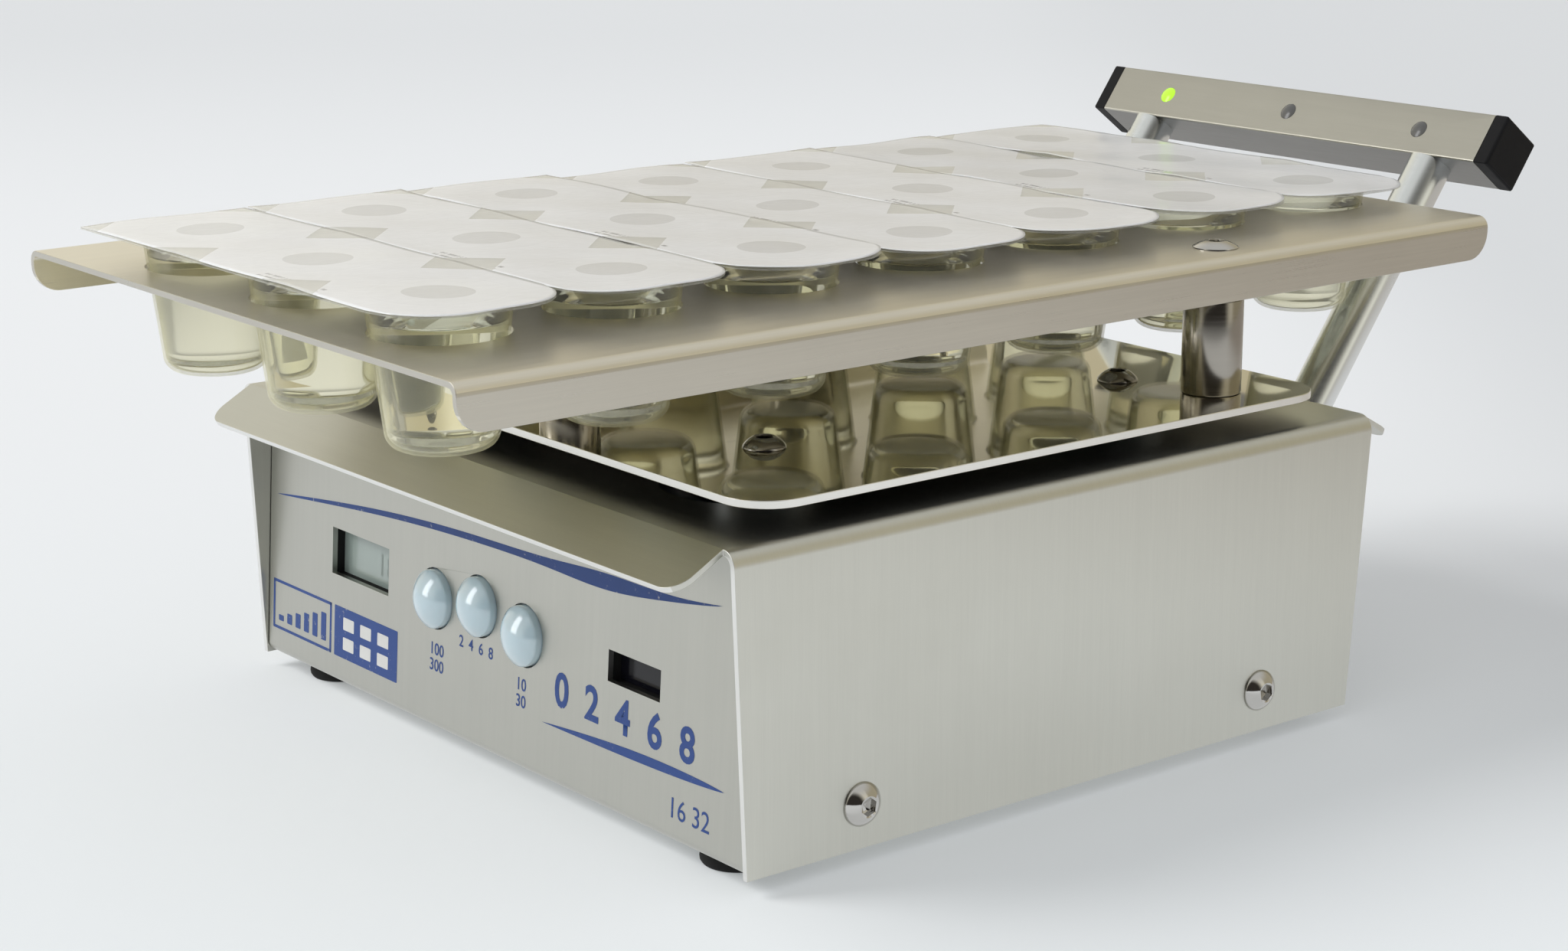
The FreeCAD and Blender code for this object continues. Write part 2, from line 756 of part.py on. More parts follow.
def build_mechanism():
    pillar = doc.addObject("Part::Prism", "pillar")
    pillar.Polygon = 6
    bind(pillar, "Circumradius", s.pillar_width / math.sqrt(3))
    bind(pillar, "Height", s.deck_bottom - floor_top)
    corners = [(pillar_x * side, s.drive_y + s.pillar_y * along) for side in SIDES for along in SIDES]
    bored = cut("bored_pillar", pillar, cylinder("pillar_bore", 2.5, s.deck_bottom))
    group("deck_pillars", [(bored, at(x, y, floor_top)) for x, y in corners])
    under = Rotation(X_AXIS, 180)
    group("deck_screws", [(small_screw, at(x, y, deck_top)) for x, y in corners]
          + [(small_screw, at(x, y, floor_bottom, under)) for x, y in corners])

    bearing = new_body("ball_bearing")
    ring = s.bearing_bore + 2.0
    shield = s.bearing_outer - 1.8
    revolve(bearing, [(s.bearing_bore, 0), (ring, 0), (ring, 0.5), (shield, 0.5), (shield, 0),
                      (s.bearing_outer, 0), (s.bearing_outer, s.bearing_width),
                      (s.bearing_bore, s.bearing_width)])
    low = s.deck_bottom - s.boss_length + 0.5
    over = Rotation(X_AXIS, 180)
    group("deck_bearings", [(bearing, at(*hub_place(index, s.drive_y), deck_top, over))
                            for index in range(len(HUBS))]
          + [(bearing, at(0, s.drive_y, low))])

    motor = new_body("motor")
    foot = s.deck_bottom - s.motor_length
    bore = s.motor_shaft + s.running_gap + 0.02
    revolve(motor, [(0, foot - 2.0), (11.0, foot - 2.0), (11.0, foot), (s.motor_radius - 1.5, foot),
                    (s.motor_radius, foot + 1.5), (s.motor_radius, s.deck_bottom - 4.0),
                    (s.motor_radius - 1.0, s.deck_bottom - 4.0), (s.motor_radius - 1.0, s.deck_bottom),
                    (6.0, s.deck_bottom), (6.0, s.deck_bottom + 2.5), (bore, s.deck_bottom + 2.5),
                    (bore, s.deck_bottom - 14.0), (0, s.deck_bottom - 14.0)])
    doc.recompute()
    sketch = new_sketch(motor, "XY_Plane", s.deck_bottom)
    for x, y in motor_screw_places():
        circle(sketch, x, y - s.motor_y, 1.5)
    pocket(motor, sketch, 6.0)
    keep(place(motor, y=s.motor_y), "motor")
    group("motor_screws", [(motor_screw, at(x, y, deck_top)) for x, y in motor_screw_places()])

    shaft = cylinder("motor_shaft", s.motor_shaft, pulley_top - s.deck_bottom + 13.0, y=s.motor_y,
                     z=s.deck_bottom - 13.0)
    keep(shaft, "motor_shaft")
    small = pulley("motor_pulley", s.motor_shaft + 0.02, s.small_groove)
    keep(place(small, y=s.motor_y), "motor_pulley")

    large = pulley("main_pulley", s.bearing_bore, s.large_groove)
    sketch = new_sketch(large, "XY_Plane", pulley_top)
    reach = (s.large_groove + s.bearing_outer) / 2
    for k in range(6):
        angle = math.radians(60 * k)
        circle(sketch, reach * math.cos(angle), reach * math.sin(angle), 7.0)
    pocket(large, sketch)
    keep(place(large, y=s.drive_y), "main_pulley")
    build_belt()
    build_main_shaft()
    build_counterweight()
    for index, name in ((1, "front_left"), (2, "front_right"), (3, "rear_left"), (4, "rear_right")):
        build_idler("idler_crank_" + name, index)


def pulley(name, bore, groove):
    """A flanged belt pulley about the Z axis."""
    body = new_body(name)
    rim = groove + s.flange_height
    revolve(body, [(bore, pulley_bottom), (rim, pulley_bottom), (rim, groove_bottom),
                   (groove, groove_bottom), (groove, groove_top), (rim, groove_top),
                   (rim, pulley_top), (bore, pulley_top)])
    return body


def belt_wire(large, small, distance):
    """Closed outline of a belt round two circles, in the plane Z = 0."""
    tilt = math.asin((large - small) / distance)
    side = Vector(math.cos(tilt), math.sin(tilt), 0)
    mirror = Vector(-side.x, side.y, 0)
    far = Vector(0, distance, 0)
    low = Vector(0, -large, 0)
    high = far + Vector(0, small, 0)
    edges = [Part.Arc(mirror * large, low, side * large).toShape(),
             Part.LineSegment(side * large, far + side * small).toShape(),
             Part.Arc(far + side * small, high, far + mirror * small).toShape(),
             Part.LineSegment(far + mirror * small, mirror * large).toShape()]
    return Part.Wire(edges)


def build_belt():
    inner = s.seat_gap.value
    outer = inner + s.belt_thick.value
    span = s.motor_y.value - s.drive_y.value
    faces = [Part.Face(belt_wire(s.large_groove.value + out, s.small_groove.value + out, span))
             for out in (outer, inner)]
    solid = faces[0].cut(faces[1]).extrude(Vector(0, 0, s.belt_width.value))
    belt = doc.addObject("Part::Feature", "drive_belt")
    belt.Shape = solid
    belt.Placement = at(0, s.drive_y, groove_bottom + 0.5)
    keep(belt, "drive_belt")


def build_main_shaft():
    """Turned shaft with a disc and the eccentric pin on top."""
    body = new_body("main_shaft")
    journal = s.bearing_bore - s.running_gap
    disc_top = pulley_top + 3.0
    start = s.deck_bottom - s.boss_length - 1.0
    pad(body, circle(new_sketch(body, "XY_Plane", start), 0, 0, journal), disc_top - start)
    collar = deck_top + s.seat_gap
    pad(body, circle(new_sketch(body, "XY_Plane", collar), 0, 0, s.shoulder_radius),
        pulley_bottom - collar)
    pad(body, circle(new_sketch(body, "XY_Plane", pulley_top), 0, 0,
                     s.orbit + s.shoulder_radius + 1.5), 3.0)
    build_pin(body, disc_top)
    keep(place(body, y=s.drive_y), "main_shaft")


def build_pin(body, start):
    """Shoulder and crank pin at the orbit's radius, up into the platform's bearing."""
    shoulder_top = hub_bottom + 0.2 - s.seat_gap
    pad(body, circle(new_sketch(body, "XY_Plane", start), 0, s.orbit, s.shoulder_radius),
        shoulder_top - start)
    pad(body, circle(new_sketch(body, "XY_Plane", start), 0, s.orbit, s.bearing_bore - s.running_gap),
        hub_bottom + s.bearing_width + 1.8 - start)


def build_counterweight():
    """Half ring on the large pulley, opposite the eccentric pin."""
    body = new_body("counterweight")
    sketch = circle(new_sketch(body, "XY_Plane", pulley_top), 0, 0, s.weight_outer)
    circle(sketch, 0, 0, s.weight_inner)
    pad(body, sketch, s.weight_thick)
    sketch = rectangle(new_sketch(body, "XY_Plane", pulley_top), s.weight_outer * -1 - 1, -2.0,
                       s.weight_outer + 1, s.weight_outer + 1)
    pocket(body, sketch, s.weight_thick, reverse=True)
    keep(place(body, y=s.drive_y), "counterweight")


def build_idler(name, index):
    """Idler crank: journal in the mechanism plate, disc, and pin under the drive plate."""
    body = new_body(name)
    journal = s.bearing_bore - s.running_gap
    disc_bottom = deck_top + 1.0
    disc_top = disc_bottom + s.crank_thick
    start = s.deck_bottom - 0.5
    pad(body, circle(new_sketch(body, "XY_Plane", start), 0, 0, journal), disc_bottom - start)
    collar = deck_top + s.seat_gap
    pad(body, circle(new_sketch(body, "XY_Plane", collar), 0, 0, s.shoulder_radius),
        disc_bottom - collar)
    pad(body, circle(new_sketch(body, "XY_Plane", disc_bottom), 0, s.orbit / 2, s.crank_disc),
        s.crank_thick)
    build_pin(body, disc_top)
    x, y = hub_place(index, s.drive_y)
    keep(place(body, x, y), name)


# Platform

def build_platform():
    body = new_body("drive_plate")
    half_x = s.plate_width / 2
    half_y = s.plate_depth / 2
    pad(body, rectangle(new_sketch(body, "XY_Plane", plate_bottom), half_x * -1, plate_y - half_y,
                        half_x, plate_y + half_y), s.plate_thick)
    round_edges(body, s.plate_corner, lambda edge: straight_along(edge, Z_AXIS))
    sketch = new_sketch(body, "XY_Plane", plate_top)
    for index in range(len(HUBS)):
        circle(sketch, *hub_place(index, hub_y), s.shank_radius + s.hole_fit)
    for x, y in post_places():
        circle(sketch, x, y, s.shank_radius + s.hole_fit)
    pocket(body, sketch)
    doc.recompute()
    drilled = body.Tip
    rims = [index + 1 for index, edge in enumerate(drilled.Shape.Edges)
            if edge.Curve.TypeId == "Part::GeomCircle"
            and abs(edge.BoundBox.Center.z - plate_bottom.value) < 1e-3
            and any(abs(edge.BoundBox.Center.x - as_size(x).value) < 1e-3
                    and abs(edge.BoundBox.Center.y - as_size(y).value) < 1e-3
                    for x, y in post_places())]
    sink = body.newObject("PartDesign::Chamfer", "countersinks")
    sink.Base = (drilled, ["Edge%d" % index for index in rims])
    bind(sink, "Size", s.plate_thick - 0.2)
    keep(body, "drive_plate")
    group("plate_screws", [(plate_screw, at(*hub_place(index, hub_y), plate_top))
                           for index in range(len(HUBS))])

    hub = new_body("hub")
    shelf = hub_bottom + s.bearing_width + 0.2
    bore = s.bearing_outer - 3.0
    roof = plate_bottom - 6.0
    thread = s.shank_radius + 0.1
    revolve(hub, [(thread, plate_bottom), (s.hub_radius, plate_bottom), (s.hub_radius, plate_bottom - 4.0),
                  (s.hub_radius - 1.5, plate_bottom - 5.5), (s.hub_radius - 1.5, hub_bottom),
                  (s.bearing_outer, hub_bottom), (s.bearing_outer, shelf), (bore, shelf),
                  (bore, roof), (thread, roof)])
    group("bearing_hubs", [(hub, at(*hub_place(index, hub_y), 0)) for index in range(len(HUBS))])
    bearing = doc.getObject("ball_bearing")
    group("hub_bearings", [(bearing, at(*hub_place(index, hub_y), hub_bottom + 0.2))
                           for index in range(len(HUBS))])

    post = new_body("post")
    neck = s.post_height - s.post_neck_length
    revolve(post, [(thread, 0), (s.post_radius - 0.5, 0), (s.post_radius, 0.5),
                   (s.post_radius, neck - 0.5), (s.post_radius - 0.5, neck), (s.post_neck, neck),
                   (s.post_neck, s.post_height), (thread, s.post_height)])
    group("tray_posts", [(post, at(x, y, plate_top)) for x, y in post_places()])
    under = Rotation(X_AXIS, 180)
    group("post_screws", [(tray_screw, at(x, y, tray_top)) for x, y in post_places()]
          + [(post_screw, at(x, y, plate_bottom, under)) for x, y in post_places()])


def post_places():
    """One post midway between two rows of cups in front, two near the rear corners."""
    front = (row_y(1) + row_y(2)) / 2
    rear = (row_y(4) + row_y(5)) / 2
    return [(0.0, front), (s.post_x * -1, rear), (s.post_x, rear)]


def build_tray():
    body = new_body("cup_tray")
    half = s.tray_width / 2
    inner = half - s.gauge
    low = tray_top - s.tray_flange
    under = tray_top - s.gauge
    outline = [(half * -1, low), (inner * -1, low), (inner * -1, under), (inner, under),
               (inner, low), (half, low), (half, tray_top), (half * -1, tray_top)]
    rear = tray_y + s.tray_length / 2
    pad(body, polygon(new_sketch(body, "XZ_Plane", 0 - rear), outline), s.tray_length)
    round_edges(body, s.tray_bend, lambda edge: straight_along(edge, Y_AXIS)
                and abs(abs(edge.BoundBox.Center.x) - half.value) < 1e-3
                and edge_at(edge, z=tray_top.value))
    round_edges(body, s.tray_bend - s.gauge, lambda edge: straight_along(edge, Y_AXIS)
                and abs(abs(edge.BoundBox.Center.x) - inner.value) < 1e-3
                and edge_at(edge, z=under.value))
    round_edges(body, s.tray_corner, lambda edge: straight_along(edge, X_AXIS)
                and edge_at(edge, z=low.value))
    sketch = new_sketch(body, "XY_Plane", tray_top)
    for row in ROWS:
        for column in COLUMNS:
            circle(sketch, s.cup_pitch_x * column, row_y(row), s.cup_hole)
    for x, y in post_places():
        circle(sketch, x, y, s.shank_radius + s.hole_fit)
    pocket(body, sketch, s.gauge + 1.0)
    keep(body, "cup_tray")


# Cups, lid films and their contents

def cup_radius(z, inset=0.0):
    """Outer radius of a cup at a height, less an inset: one straight cone."""
    return s.cup_hole - s.cup_fit - (tray_top - z) * s.cup_taper - inset


def strip_rise(row):
    """How much higher than the middle row a strip's cups sit in their tapered holes."""
    rise = s.strip_fall * (3 - row)
    return rise + s.strip_step if row < 3 else rise


def strip_outline(body, level):
    """A strip's outline: square ends on the left, rounded corners on the right."""
    half = s.strip_length / 2
    depth = (s.cup_pitch_y - s.strip_gap) / 2
    return rectangle(new_sketch(body, "XY_Plane", level), half * -1, depth * -1, half, depth)


def round_right_end(body):
    half = s.strip_length.value / 2
    round_edges(body, s.strip_corner, lambda edge: straight_along(edge, Z_AXIS)
                and abs(edge.BoundBox.Center.x - half) < 1e-3)


def add_cone(body, bottom, top, inset, column, cutting):
    """A tapered solid round one cup axis, added or cut."""
    x = s.cup_pitch_x * column
    sketch = new_sketch(body, "XZ_Plane")
    corner = s.cup_round - inset
    wall = x + cup_radius(bottom + corner, inset)
    polygon(sketch, [(x, bottom), (wall - corner, bottom, corner), (wall, bottom + corner),
                     (x + cup_radius(top, inset), top), (x, top)])
    kind = "PartDesign::Groove" if cutting else "PartDesign::Revolution"
    feature = body.newObject(kind, body.Name + "_cup")
    feature.Profile = sketch
    feature.ReferenceAxis = (sketch, ["Edge5"])
    feature.Angle = 360
    return feature


def build_cups():
    web_bottom = cup_rim - 0.6
    strip = new_body("cup_strip")
    pad(strip, strip_outline(strip, web_bottom), 0.6)
    round_right_end(strip)
    for column in COLUMNS:
        add_cone(strip, cup_bottom, cup_rim, 0.0, column, False)
    for column in COLUMNS:
        add_cone(strip, cup_bottom + 0.8, cup_rim + 0.01, s.cup_wall, column, True)
    film = new_body("lid_film")
    pad(film, strip_outline(film, cup_rim), s.film_thick)
    round_right_end(film)
    liquid = new_body("diluent")
    fill = tray_top + s.fill_above
    inset = s.cup_wall + 0.05
    bottom = cup_bottom + 0.85
    corner = s.cup_round - inset
    wall = cup_radius(bottom + corner, inset)
    revolve(liquid, [(0, bottom), (wall - corner, bottom, corner), (wall, bottom + corner),
                     (cup_radius(fill, inset), fill), (0, fill)])
    for end, rows in (("front", list(ROWS)[:3]), ("rear", list(ROWS)[3:])):
        group("cup_strips_" + end, [(strip, at(0, row_y(row), strip_rise(row))) for row in rows])
        group("lid_films_" + end, [(film, at(0, row_y(row), strip_rise(row))) for row in rows])
        group("diluent_" + end, [(liquid, at(s.cup_pitch_x * column, row_y(row), strip_rise(row)))
                                 for row in rows for column in COLUMNS])


# Front panel parts, in the panel's own leaning frame: Y into the housing, Z up the panel

def on_panel(thing):
    return place(thing, 0.0, panel_y, floor_bottom, lean=s.panel_lean)


def panel_height(z):
    """Distance up the leaning panel of a point at height z."""
    return (z - floor_bottom) / cosine(s.panel_lean)


def panel_box(body, x, z, width, height, near, far):
    """Adds a box behind the panel to the body, between two depths."""
    sketch = new_sketch(body, "XZ_Plane", 0 - as_size(far))
    up = panel_height(z)
    rectangle(sketch, x - width / 2, up - height / 2, x + width / 2, up + height / 2)
    return pad(body, sketch, as_size(far) - as_size(near))


def build_front_parts():
    windows = ((s.display_x, s.display_z, s.display_width, s.display_height),
               (s.sensor_x, s.sensor_z, s.sensor_width, s.sensor_height))
    gasket_back = s.gauge + s.gasket_depth
    module_back = gasket_back + s.module_depth
    seeds = []
    for x, z, width, height in windows:
        body = new_body("gasket")
        panel_box(body, x, z, width + s.gasket_border * 2, height + s.gasket_border * 2,
                  s.gauge, gasket_back)
        sketch = new_sketch(body, "XZ_Plane", 0 - gasket_back)
        up = panel_height(z)
        rectangle(sketch, x - width / 2 - 0.3, up - height / 2 - 0.3, x + width / 2 + 0.3,
                  up + height / 2 + 0.3)
        pocket(body, sketch, s.gasket_depth, reverse=True)
        seeds.append(body)
    panel = at(0, panel_y, floor_bottom, Rotation(X_AXIS, -s.panel_lean.value))
    group("window_gaskets", [(body, panel) for body in seeds])
    for name, (x, z, width, height) in zip(("display_module", "sensor_module"), windows):
        body = new_body(name)
        panel_box(body, x, z, width + s.gasket_border * 2, height + s.gasket_border * 2,
                  gasket_back, module_back)
        keep(on_panel(body), name)

    board = new_body("control_board")
    panel_box(board, as_size(0.0), s.board_z, s.board_width, s.board_height, module_back,
              module_back + s.board_thick)
    sketch = new_sketch(board, "XZ_Plane", 0 - module_back - s.board_thick)
    for x, z in spacer_places():
        circle(sketch, x, z, 1.6)
    pocket(board, sketch, both=True)
    keep(on_panel(board), "control_board")
    spacer = cut("spacer", cylinder("spacer_tube", 3.0, module_back - s.gauge),
                 cylinder("spacer_bore", 1.5, 20.0))
    turn = Rotation(X_AXIS, -s.panel_lean.value).multiply(Rotation(X_AXIS, -90))
    copies = []
    for x, z in spacer_places():
        local = Vector(x.value, s.gauge.value, z.value)
        copies.append((spacer, Placement(panel.multVec(local), turn)))
    group("board_spacers", copies)

    key = new_body("key_switch")
    push = button_back + s.button_stem + s.button_travel + 0.2
    revolve(key, [(0, push), (2.0, push), (2.0, push + 1.0), (4.0, push + 1.0), (4.0, module_back),
                  (0, module_back)])
    key_copies = []
    for index, (x, z) in enumerate(button_places(), start=1):
        build_button("push_button_%d" % index, x, z)
        local = at(x, 0, panel_height(as_size(z)), Rotation(X_AXIS, -90))
        key_copies.append((key, panel.multiply(local)))
    group("key_switches", key_copies)


def spacer_places():
    """X and distance up the panel of the board's four corners, less the spacers' insets."""
    reach = s.board_width / 2 - s.spacer_inset_x
    rise = s.board_height / 2 - s.spacer_inset_z
    middle = panel_height(s.board_z)
    return [(reach * across, middle + rise * up) for across in SIDES for up in SIDES]


def build_button(name, x, z):
    """A domed cap in the panel's hole, with a rim behind the panel and a short stem."""
    body = new_body(name)
    rim = s.button_radius + s.button_gap + 1.2
    back = button_back
    stem = back + s.button_stem
    face = s.button_proud
    dome = s.button_dome
    edge = s.button_radius
    revolve(body, [(0, stem), (2.0, stem), (2.0, back), (rim, back),
                   (rim, s.gauge + s.seat_gap), (edge, s.gauge + s.seat_gap),
                   (edge, 0 - face, 0 - cap_radius(edge, dome)), (0, 0 - face - dome)])
    body.Placement = Placement(Vector(0, 0, 0), Rotation(X_AXIS, -90.0 - s.panel_lean.value))
    body.setExpression("Placement.Rotation.Angle", "(0 - 90 - Sizes.panel_lean) * 1 deg")
    up = panel_height(as_size(z))
    place(body, x, panel_y + up * sine(s.panel_lean), floor_bottom + up * cosine(s.panel_lean))
    keep(body, name)


# Rear panel and electrics

def build_electrics():
    inlet = new_body("power_inlet")
    z = s.inlet_z
    outer = rear_y + 2.0
    half, tall = s.inlet_flange_width / 2, s.inlet_flange_height / 2
    sketch = rectangle(new_sketch(inlet, "XZ_Plane", 0 - outer), s.inlet_x - half, z - tall,
                       s.inlet_x + half, z + tall)
    pad(inlet, sketch, outer - rear_y)
    half, tall = s.inlet_body_width / 2, s.inlet_body_height / 2
    sketch = rectangle(new_sketch(inlet, "XZ_Plane", 0 - rear_y), s.inlet_x - half, z - tall,
                       s.inlet_x + half, z + tall)
    pad(inlet, sketch, 22.0, reverse=False)
    sketch = rectangle(new_sketch(inlet, "XZ_Plane", 0 - outer), s.inlet_x - 12.0, z - 8.2,
                       s.inlet_x + 12.0, z + 8.2)
    pocket(inlet, sketch, 18.0, reverse=True)
    sketch = new_sketch(inlet, "XZ_Plane", 0 - rear_y + 17.0)
    contact = 1.0
    for across, up in ((-7.0, -1.5), (0.0, 2.5), (7.0, -1.5)):
        rectangle(sketch, s.inlet_x + across - contact, z + up - 2 * contact,
                  s.inlet_x + across + contact, z + up + 2 * contact)
    pad(inlet, sketch, 12.0, reverse=True)
    keep(inlet, "power_inlet")

    frame = new_body("switch_frame")
    sketch = rectangle(new_sketch(frame, "XZ_Plane", 0 - outer), s.switch_x - 7.5, z - 10.5,
                       s.switch_x + 7.5, z + 10.5)
    pad(frame, sketch, outer - rear_y)
    sketch = rectangle(new_sketch(frame, "XZ_Plane", 0 - rear_y), s.switch_x - 6.3, z - 9.3,
                       s.switch_x + 6.3, z + 9.3)
    pad(frame, sketch, 16.0)
    sketch = rectangle(new_sketch(frame, "XZ_Plane", 0 - outer), s.switch_x - 5.2, z - 8.2,
                       s.switch_x + 5.2, z + 8.2)
    pocket(frame, sketch, 12.0, reverse=True)
    keep(frame, "switch_frame")

    rocker = new_body("switch_rocker")
    sketch = polygon(new_sketch(rocker, "YZ_Plane"),
                     [(3.4, -7.2), (5.0, 0.0), (3.4, 7.2), (-0.5, 7.0), (-3.5, 0.0), (-0.5, -7.0)])
    pad(rocker, sketch, 9.6, both=True)
    pin = circle(new_sketch(rocker, "YZ_Plane"), 0, 0, 1.2)
    pad(rocker, pin, 10.2, both=True)
    keep(place(rocker, s.switch_x, outer - 3.0, z, lean=s.switch_tilt), "switch_rocker")

    supply = new_body("power_supply")
    half_width = s.supply_width / 2
    half_depth = s.supply_depth / 2
    sketch = rectangle(new_sketch(supply, "XY_Plane", floor_top), s.supply_x - half_width,
                       s.supply_y - half_depth, s.supply_x + half_width, s.supply_y + half_depth)
    pad(supply, sketch, s.supply_height)
    sketch = new_sketch(supply, "XY_Plane", floor_top + s.supply_height)
    for k in range(6):
        middle = s.supply_y + s.vent_pitch * (k - 2.5)
        rectangle(sketch, s.supply_x - s.vent_width / 2, middle - s.vent_height / 2,
                  s.supply_x + s.vent_width / 2, middle + s.vent_height / 2)
    pocket(supply, sketch, s.vent_depth)
    keep(supply, "power_supply")


# Lamp bar, in the legs' own leaning frame: Z along the legs from their lower ends

def on_lamp(thing):
    return place(thing, 0.0, s.lamp_foot_y, s.lamp_foot_z, lean=s.lamp_lean)


def lamp_place():
    return at(0, s.lamp_foot_y, s.lamp_foot_z, Rotation(X_AXIS, -s.lamp_lean.value))


def build_lamp():
    half = s.bar_size / 2
    centre_y = s.leg_forward
    bar_bottom = s.leg_length
    bar = new_body("lamp_bar")
    sketch = rectangle(new_sketch(bar, "YZ_Plane"), centre_y - half, bar_bottom, centre_y + half,
                       bar_bottom + s.bar_size)
    rectangle(sketch, centre_y - half + s.bar_wall, bar_bottom + s.bar_wall,
              centre_y + half - s.bar_wall, bar_bottom + s.bar_size - s.bar_wall)
    pad(bar, sketch, s.bar_length, both=True)
    round_edges(bar, 0.6, lambda edge: straight_along(edge, X_AXIS)
                and abs(abs(edge.BoundBox.Center.y - centre_y.value) - half.value) < 1e-3)
    sketch = new_sketch(bar, "XZ_Plane", 0 - centre_y)
    middle = bar_bottom + half
    for column in COLUMNS:
        circle(sketch, lens_pitch * column, middle, s.lens_radius + 0.05)
    pocket(bar, sketch, s.bar_size, reverse=True)
    doc.recompute()
    keep(on_lamp(bar), "lamp_bar")

    cap = new_body("bar_cap")
    sketch = rectangle(new_sketch(cap, "YZ_Plane"), centre_y - half, bar_bottom, centre_y + half,
                       bar_bottom + s.bar_size)
    pad(cap, sketch, s.cap_length)
    tip = s.cap_length.value
    round_edges(cap, 1.0, lambda edge: abs(edge.BoundBox.Center.x - tip) < 1e-3
                and edge.Curve.TypeId == "Part::GeomLine")
    inner = half - s.bar_wall - 0.1
    sketch = rectangle(new_sketch(cap, "YZ_Plane"), centre_y - inner, middle - inner,
                       centre_y + inner, middle + inner)
    pad(cap, sketch, 6.0, reverse=True)
    frame = lamp_place()
    end = s.bar_length / 2
    flipped = Placement(Vector(0, 2 * centre_y.value, 0), Rotation(Z_AXIS, 180))
    group("lamp_bar_caps", [(cap, frame.multiply(at(end, 0, 0))),
                            (cap, frame.multiply(at(end * -1, 0, 0)).multiply(flipped))])

    board = new_body("lamp_board")
    back = centre_y - half + s.bar_wall + 3.0
    reach = s.bar_length / 2 - s.lamp_board_inset
    sketch = rectangle(new_sketch(board, "XZ_Plane", 0 - back - s.board_thick), 0 - reach,
                       middle - inner + 0.1, reach, middle + inner - 0.1)
    pad(board, sketch, s.board_thick)
    keep(on_lamp(board), "lamp_board")

    lens = new_body("lamp_lens")
    front = centre_y - half
    radius = s.lens_radius
    dome = 0.6
    revolve(lens, [(0, 0 - front + dome, 0 - cap_radius(radius, dome)), (radius, 0 - front),
                   (radius, 0 - front - s.bar_wall), (radius + 0.6, 0 - front - s.bar_wall),
                   (radius + 0.6, 0 - front - s.bar_wall - 1.0), (radius, 0 - front - s.bar_wall - 1.0),
                   (radius, 0 - back), (0, 0 - back)])
    out = Rotation(X_AXIS, 90)
    spots = [frame.multiply(at(lens_pitch * column, 0, middle, out)) for column in COLUMNS]
    group("lamp_lens_lit", [(lens, spots[0])])
    group("lamp_lenses_dark", [(lens, spots[1]), (lens, spots[2])])

    leg = new_body("lamp_leg")
    thread = 2.5
    revolve(leg, [(thread, 0), (s.leg_radius, 0), (s.leg_radius, s.leg_length),
                  (s.leg_radius - s.leg_wall, s.leg_length), (s.leg_radius - s.leg_wall, 12.0),
                  (thread, 12.0)])
    group("lamp_legs", [(leg, frame.multiply(at(leg_x * side, 0, 0))) for side in SIDES])
    build_brackets(frame)


def build_brackets(frame):
    """Bent plates on the rear panel whose slanted arms carry the legs."""
    bracket = new_body("leg_bracket")
    thick = s.bracket_thick
    slope = tangent(s.lamp_lean)
    root = bracket_root_z()
    drop = thick / cosine(s.lamp_lean)
    end_y = s.lamp_foot_y + 9.0 * cosine(s.lamp_lean)
    end_z = s.lamp_foot_z - 9.0 * sine(s.lamp_lean)
    outline = [(rear_y, root), (end_y, end_z),
               (end_y - thick * sine(s.lamp_lean), end_z - thick * cosine(s.lamp_lean)),
               (rear_y + thick, root - drop - thick * slope), (rear_y + thick, root - 31.0),
               (rear_y, root - 31.0)]
    pad(bracket, polygon(new_sketch(bracket, "YZ_Plane"), outline), s.bracket_width, both=True)
    sketch = new_sketch(bracket, "XZ_Plane", 0 - rear_y)
    for z in bracket_screw_zs():
        circle(sketch, 0, z, 2.6)
    pocket(bracket, sketch, thick + 1.0)
    doc.recompute()
    local = cylinder("leg_screw_hole", 2.6, 30.0, z=-20.0)
    doc.recompute()
    copies = []
    for side in SIDES:
        across = at(leg_x * side, 0, 0)
        hole = local.Shape.transformed(frame.multiply(at(0, 0, 0)).toMatrix(), True)
        piece = doc.addObject("Part::Feature", "drilled_bracket")
        piece.Shape = bracket.Shape.cut(hole)
        copies.append((piece, across))
    group("leg_brackets", copies)
    screws = []
    under = Rotation(X_AXIS, 180)
    rearward = Rotation(X_AXIS, -90)
    for side in SIDES:
        screws.append((small_screw, frame.multiply(at(leg_x * side, 0, 0 - thick, under))))
        for z in bracket_screw_zs():
            screws.append((small_screw, at(leg_x * side, rear_y + thick, z, rearward)))
    group("leg_screws", screws)


build_top_cover()
build_chassis()
build_screws_and_feet()
build_deck()
build_mechanism()
build_platform()
build_tray()
build_cups()
build_front_parts()
build_electrics()
build_lamp()
doc.recompute()

# Checks, then one file for each piece
for thing in doc.Objects:
    for word in ("Invalid", "Error"):
        if word in thing.State:
            raise RuntimeError("%s failed: %s" % (thing.Label, thing.State))
for node in nodes:
    if node.Shape.isNull() or not node.Shape.isValid():
        raise RuntimeError("%s has no valid shape" % node.Label)
os.makedirs("parts", exist_ok=True)
for node in nodes:
    if not re.fullmatch("[a-z][a-z0-9_]*", node.Label):
        raise RuntimeError("%s is not a plain name" % node.Label)
    node.Shape.exportStep(os.path.join("parts", node.Label + ".step"))
print("%d pieces written" % len(nodes))
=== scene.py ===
"""Looks of a bench laboratory shaker: detailed pieces, finishes, light and camera.

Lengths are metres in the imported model's frame: X runs along the front, Y to the back, Z up.
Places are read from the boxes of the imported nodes, and each class dresses one sub-assembly.
"""

import json
import logging
import math
from dataclasses import dataclass, field
from enum import Enum
from typing import Iterable, Mapping, Sequence

import bmesh
import bpy
import numpy as np
from mathutils import Matrix, Vector

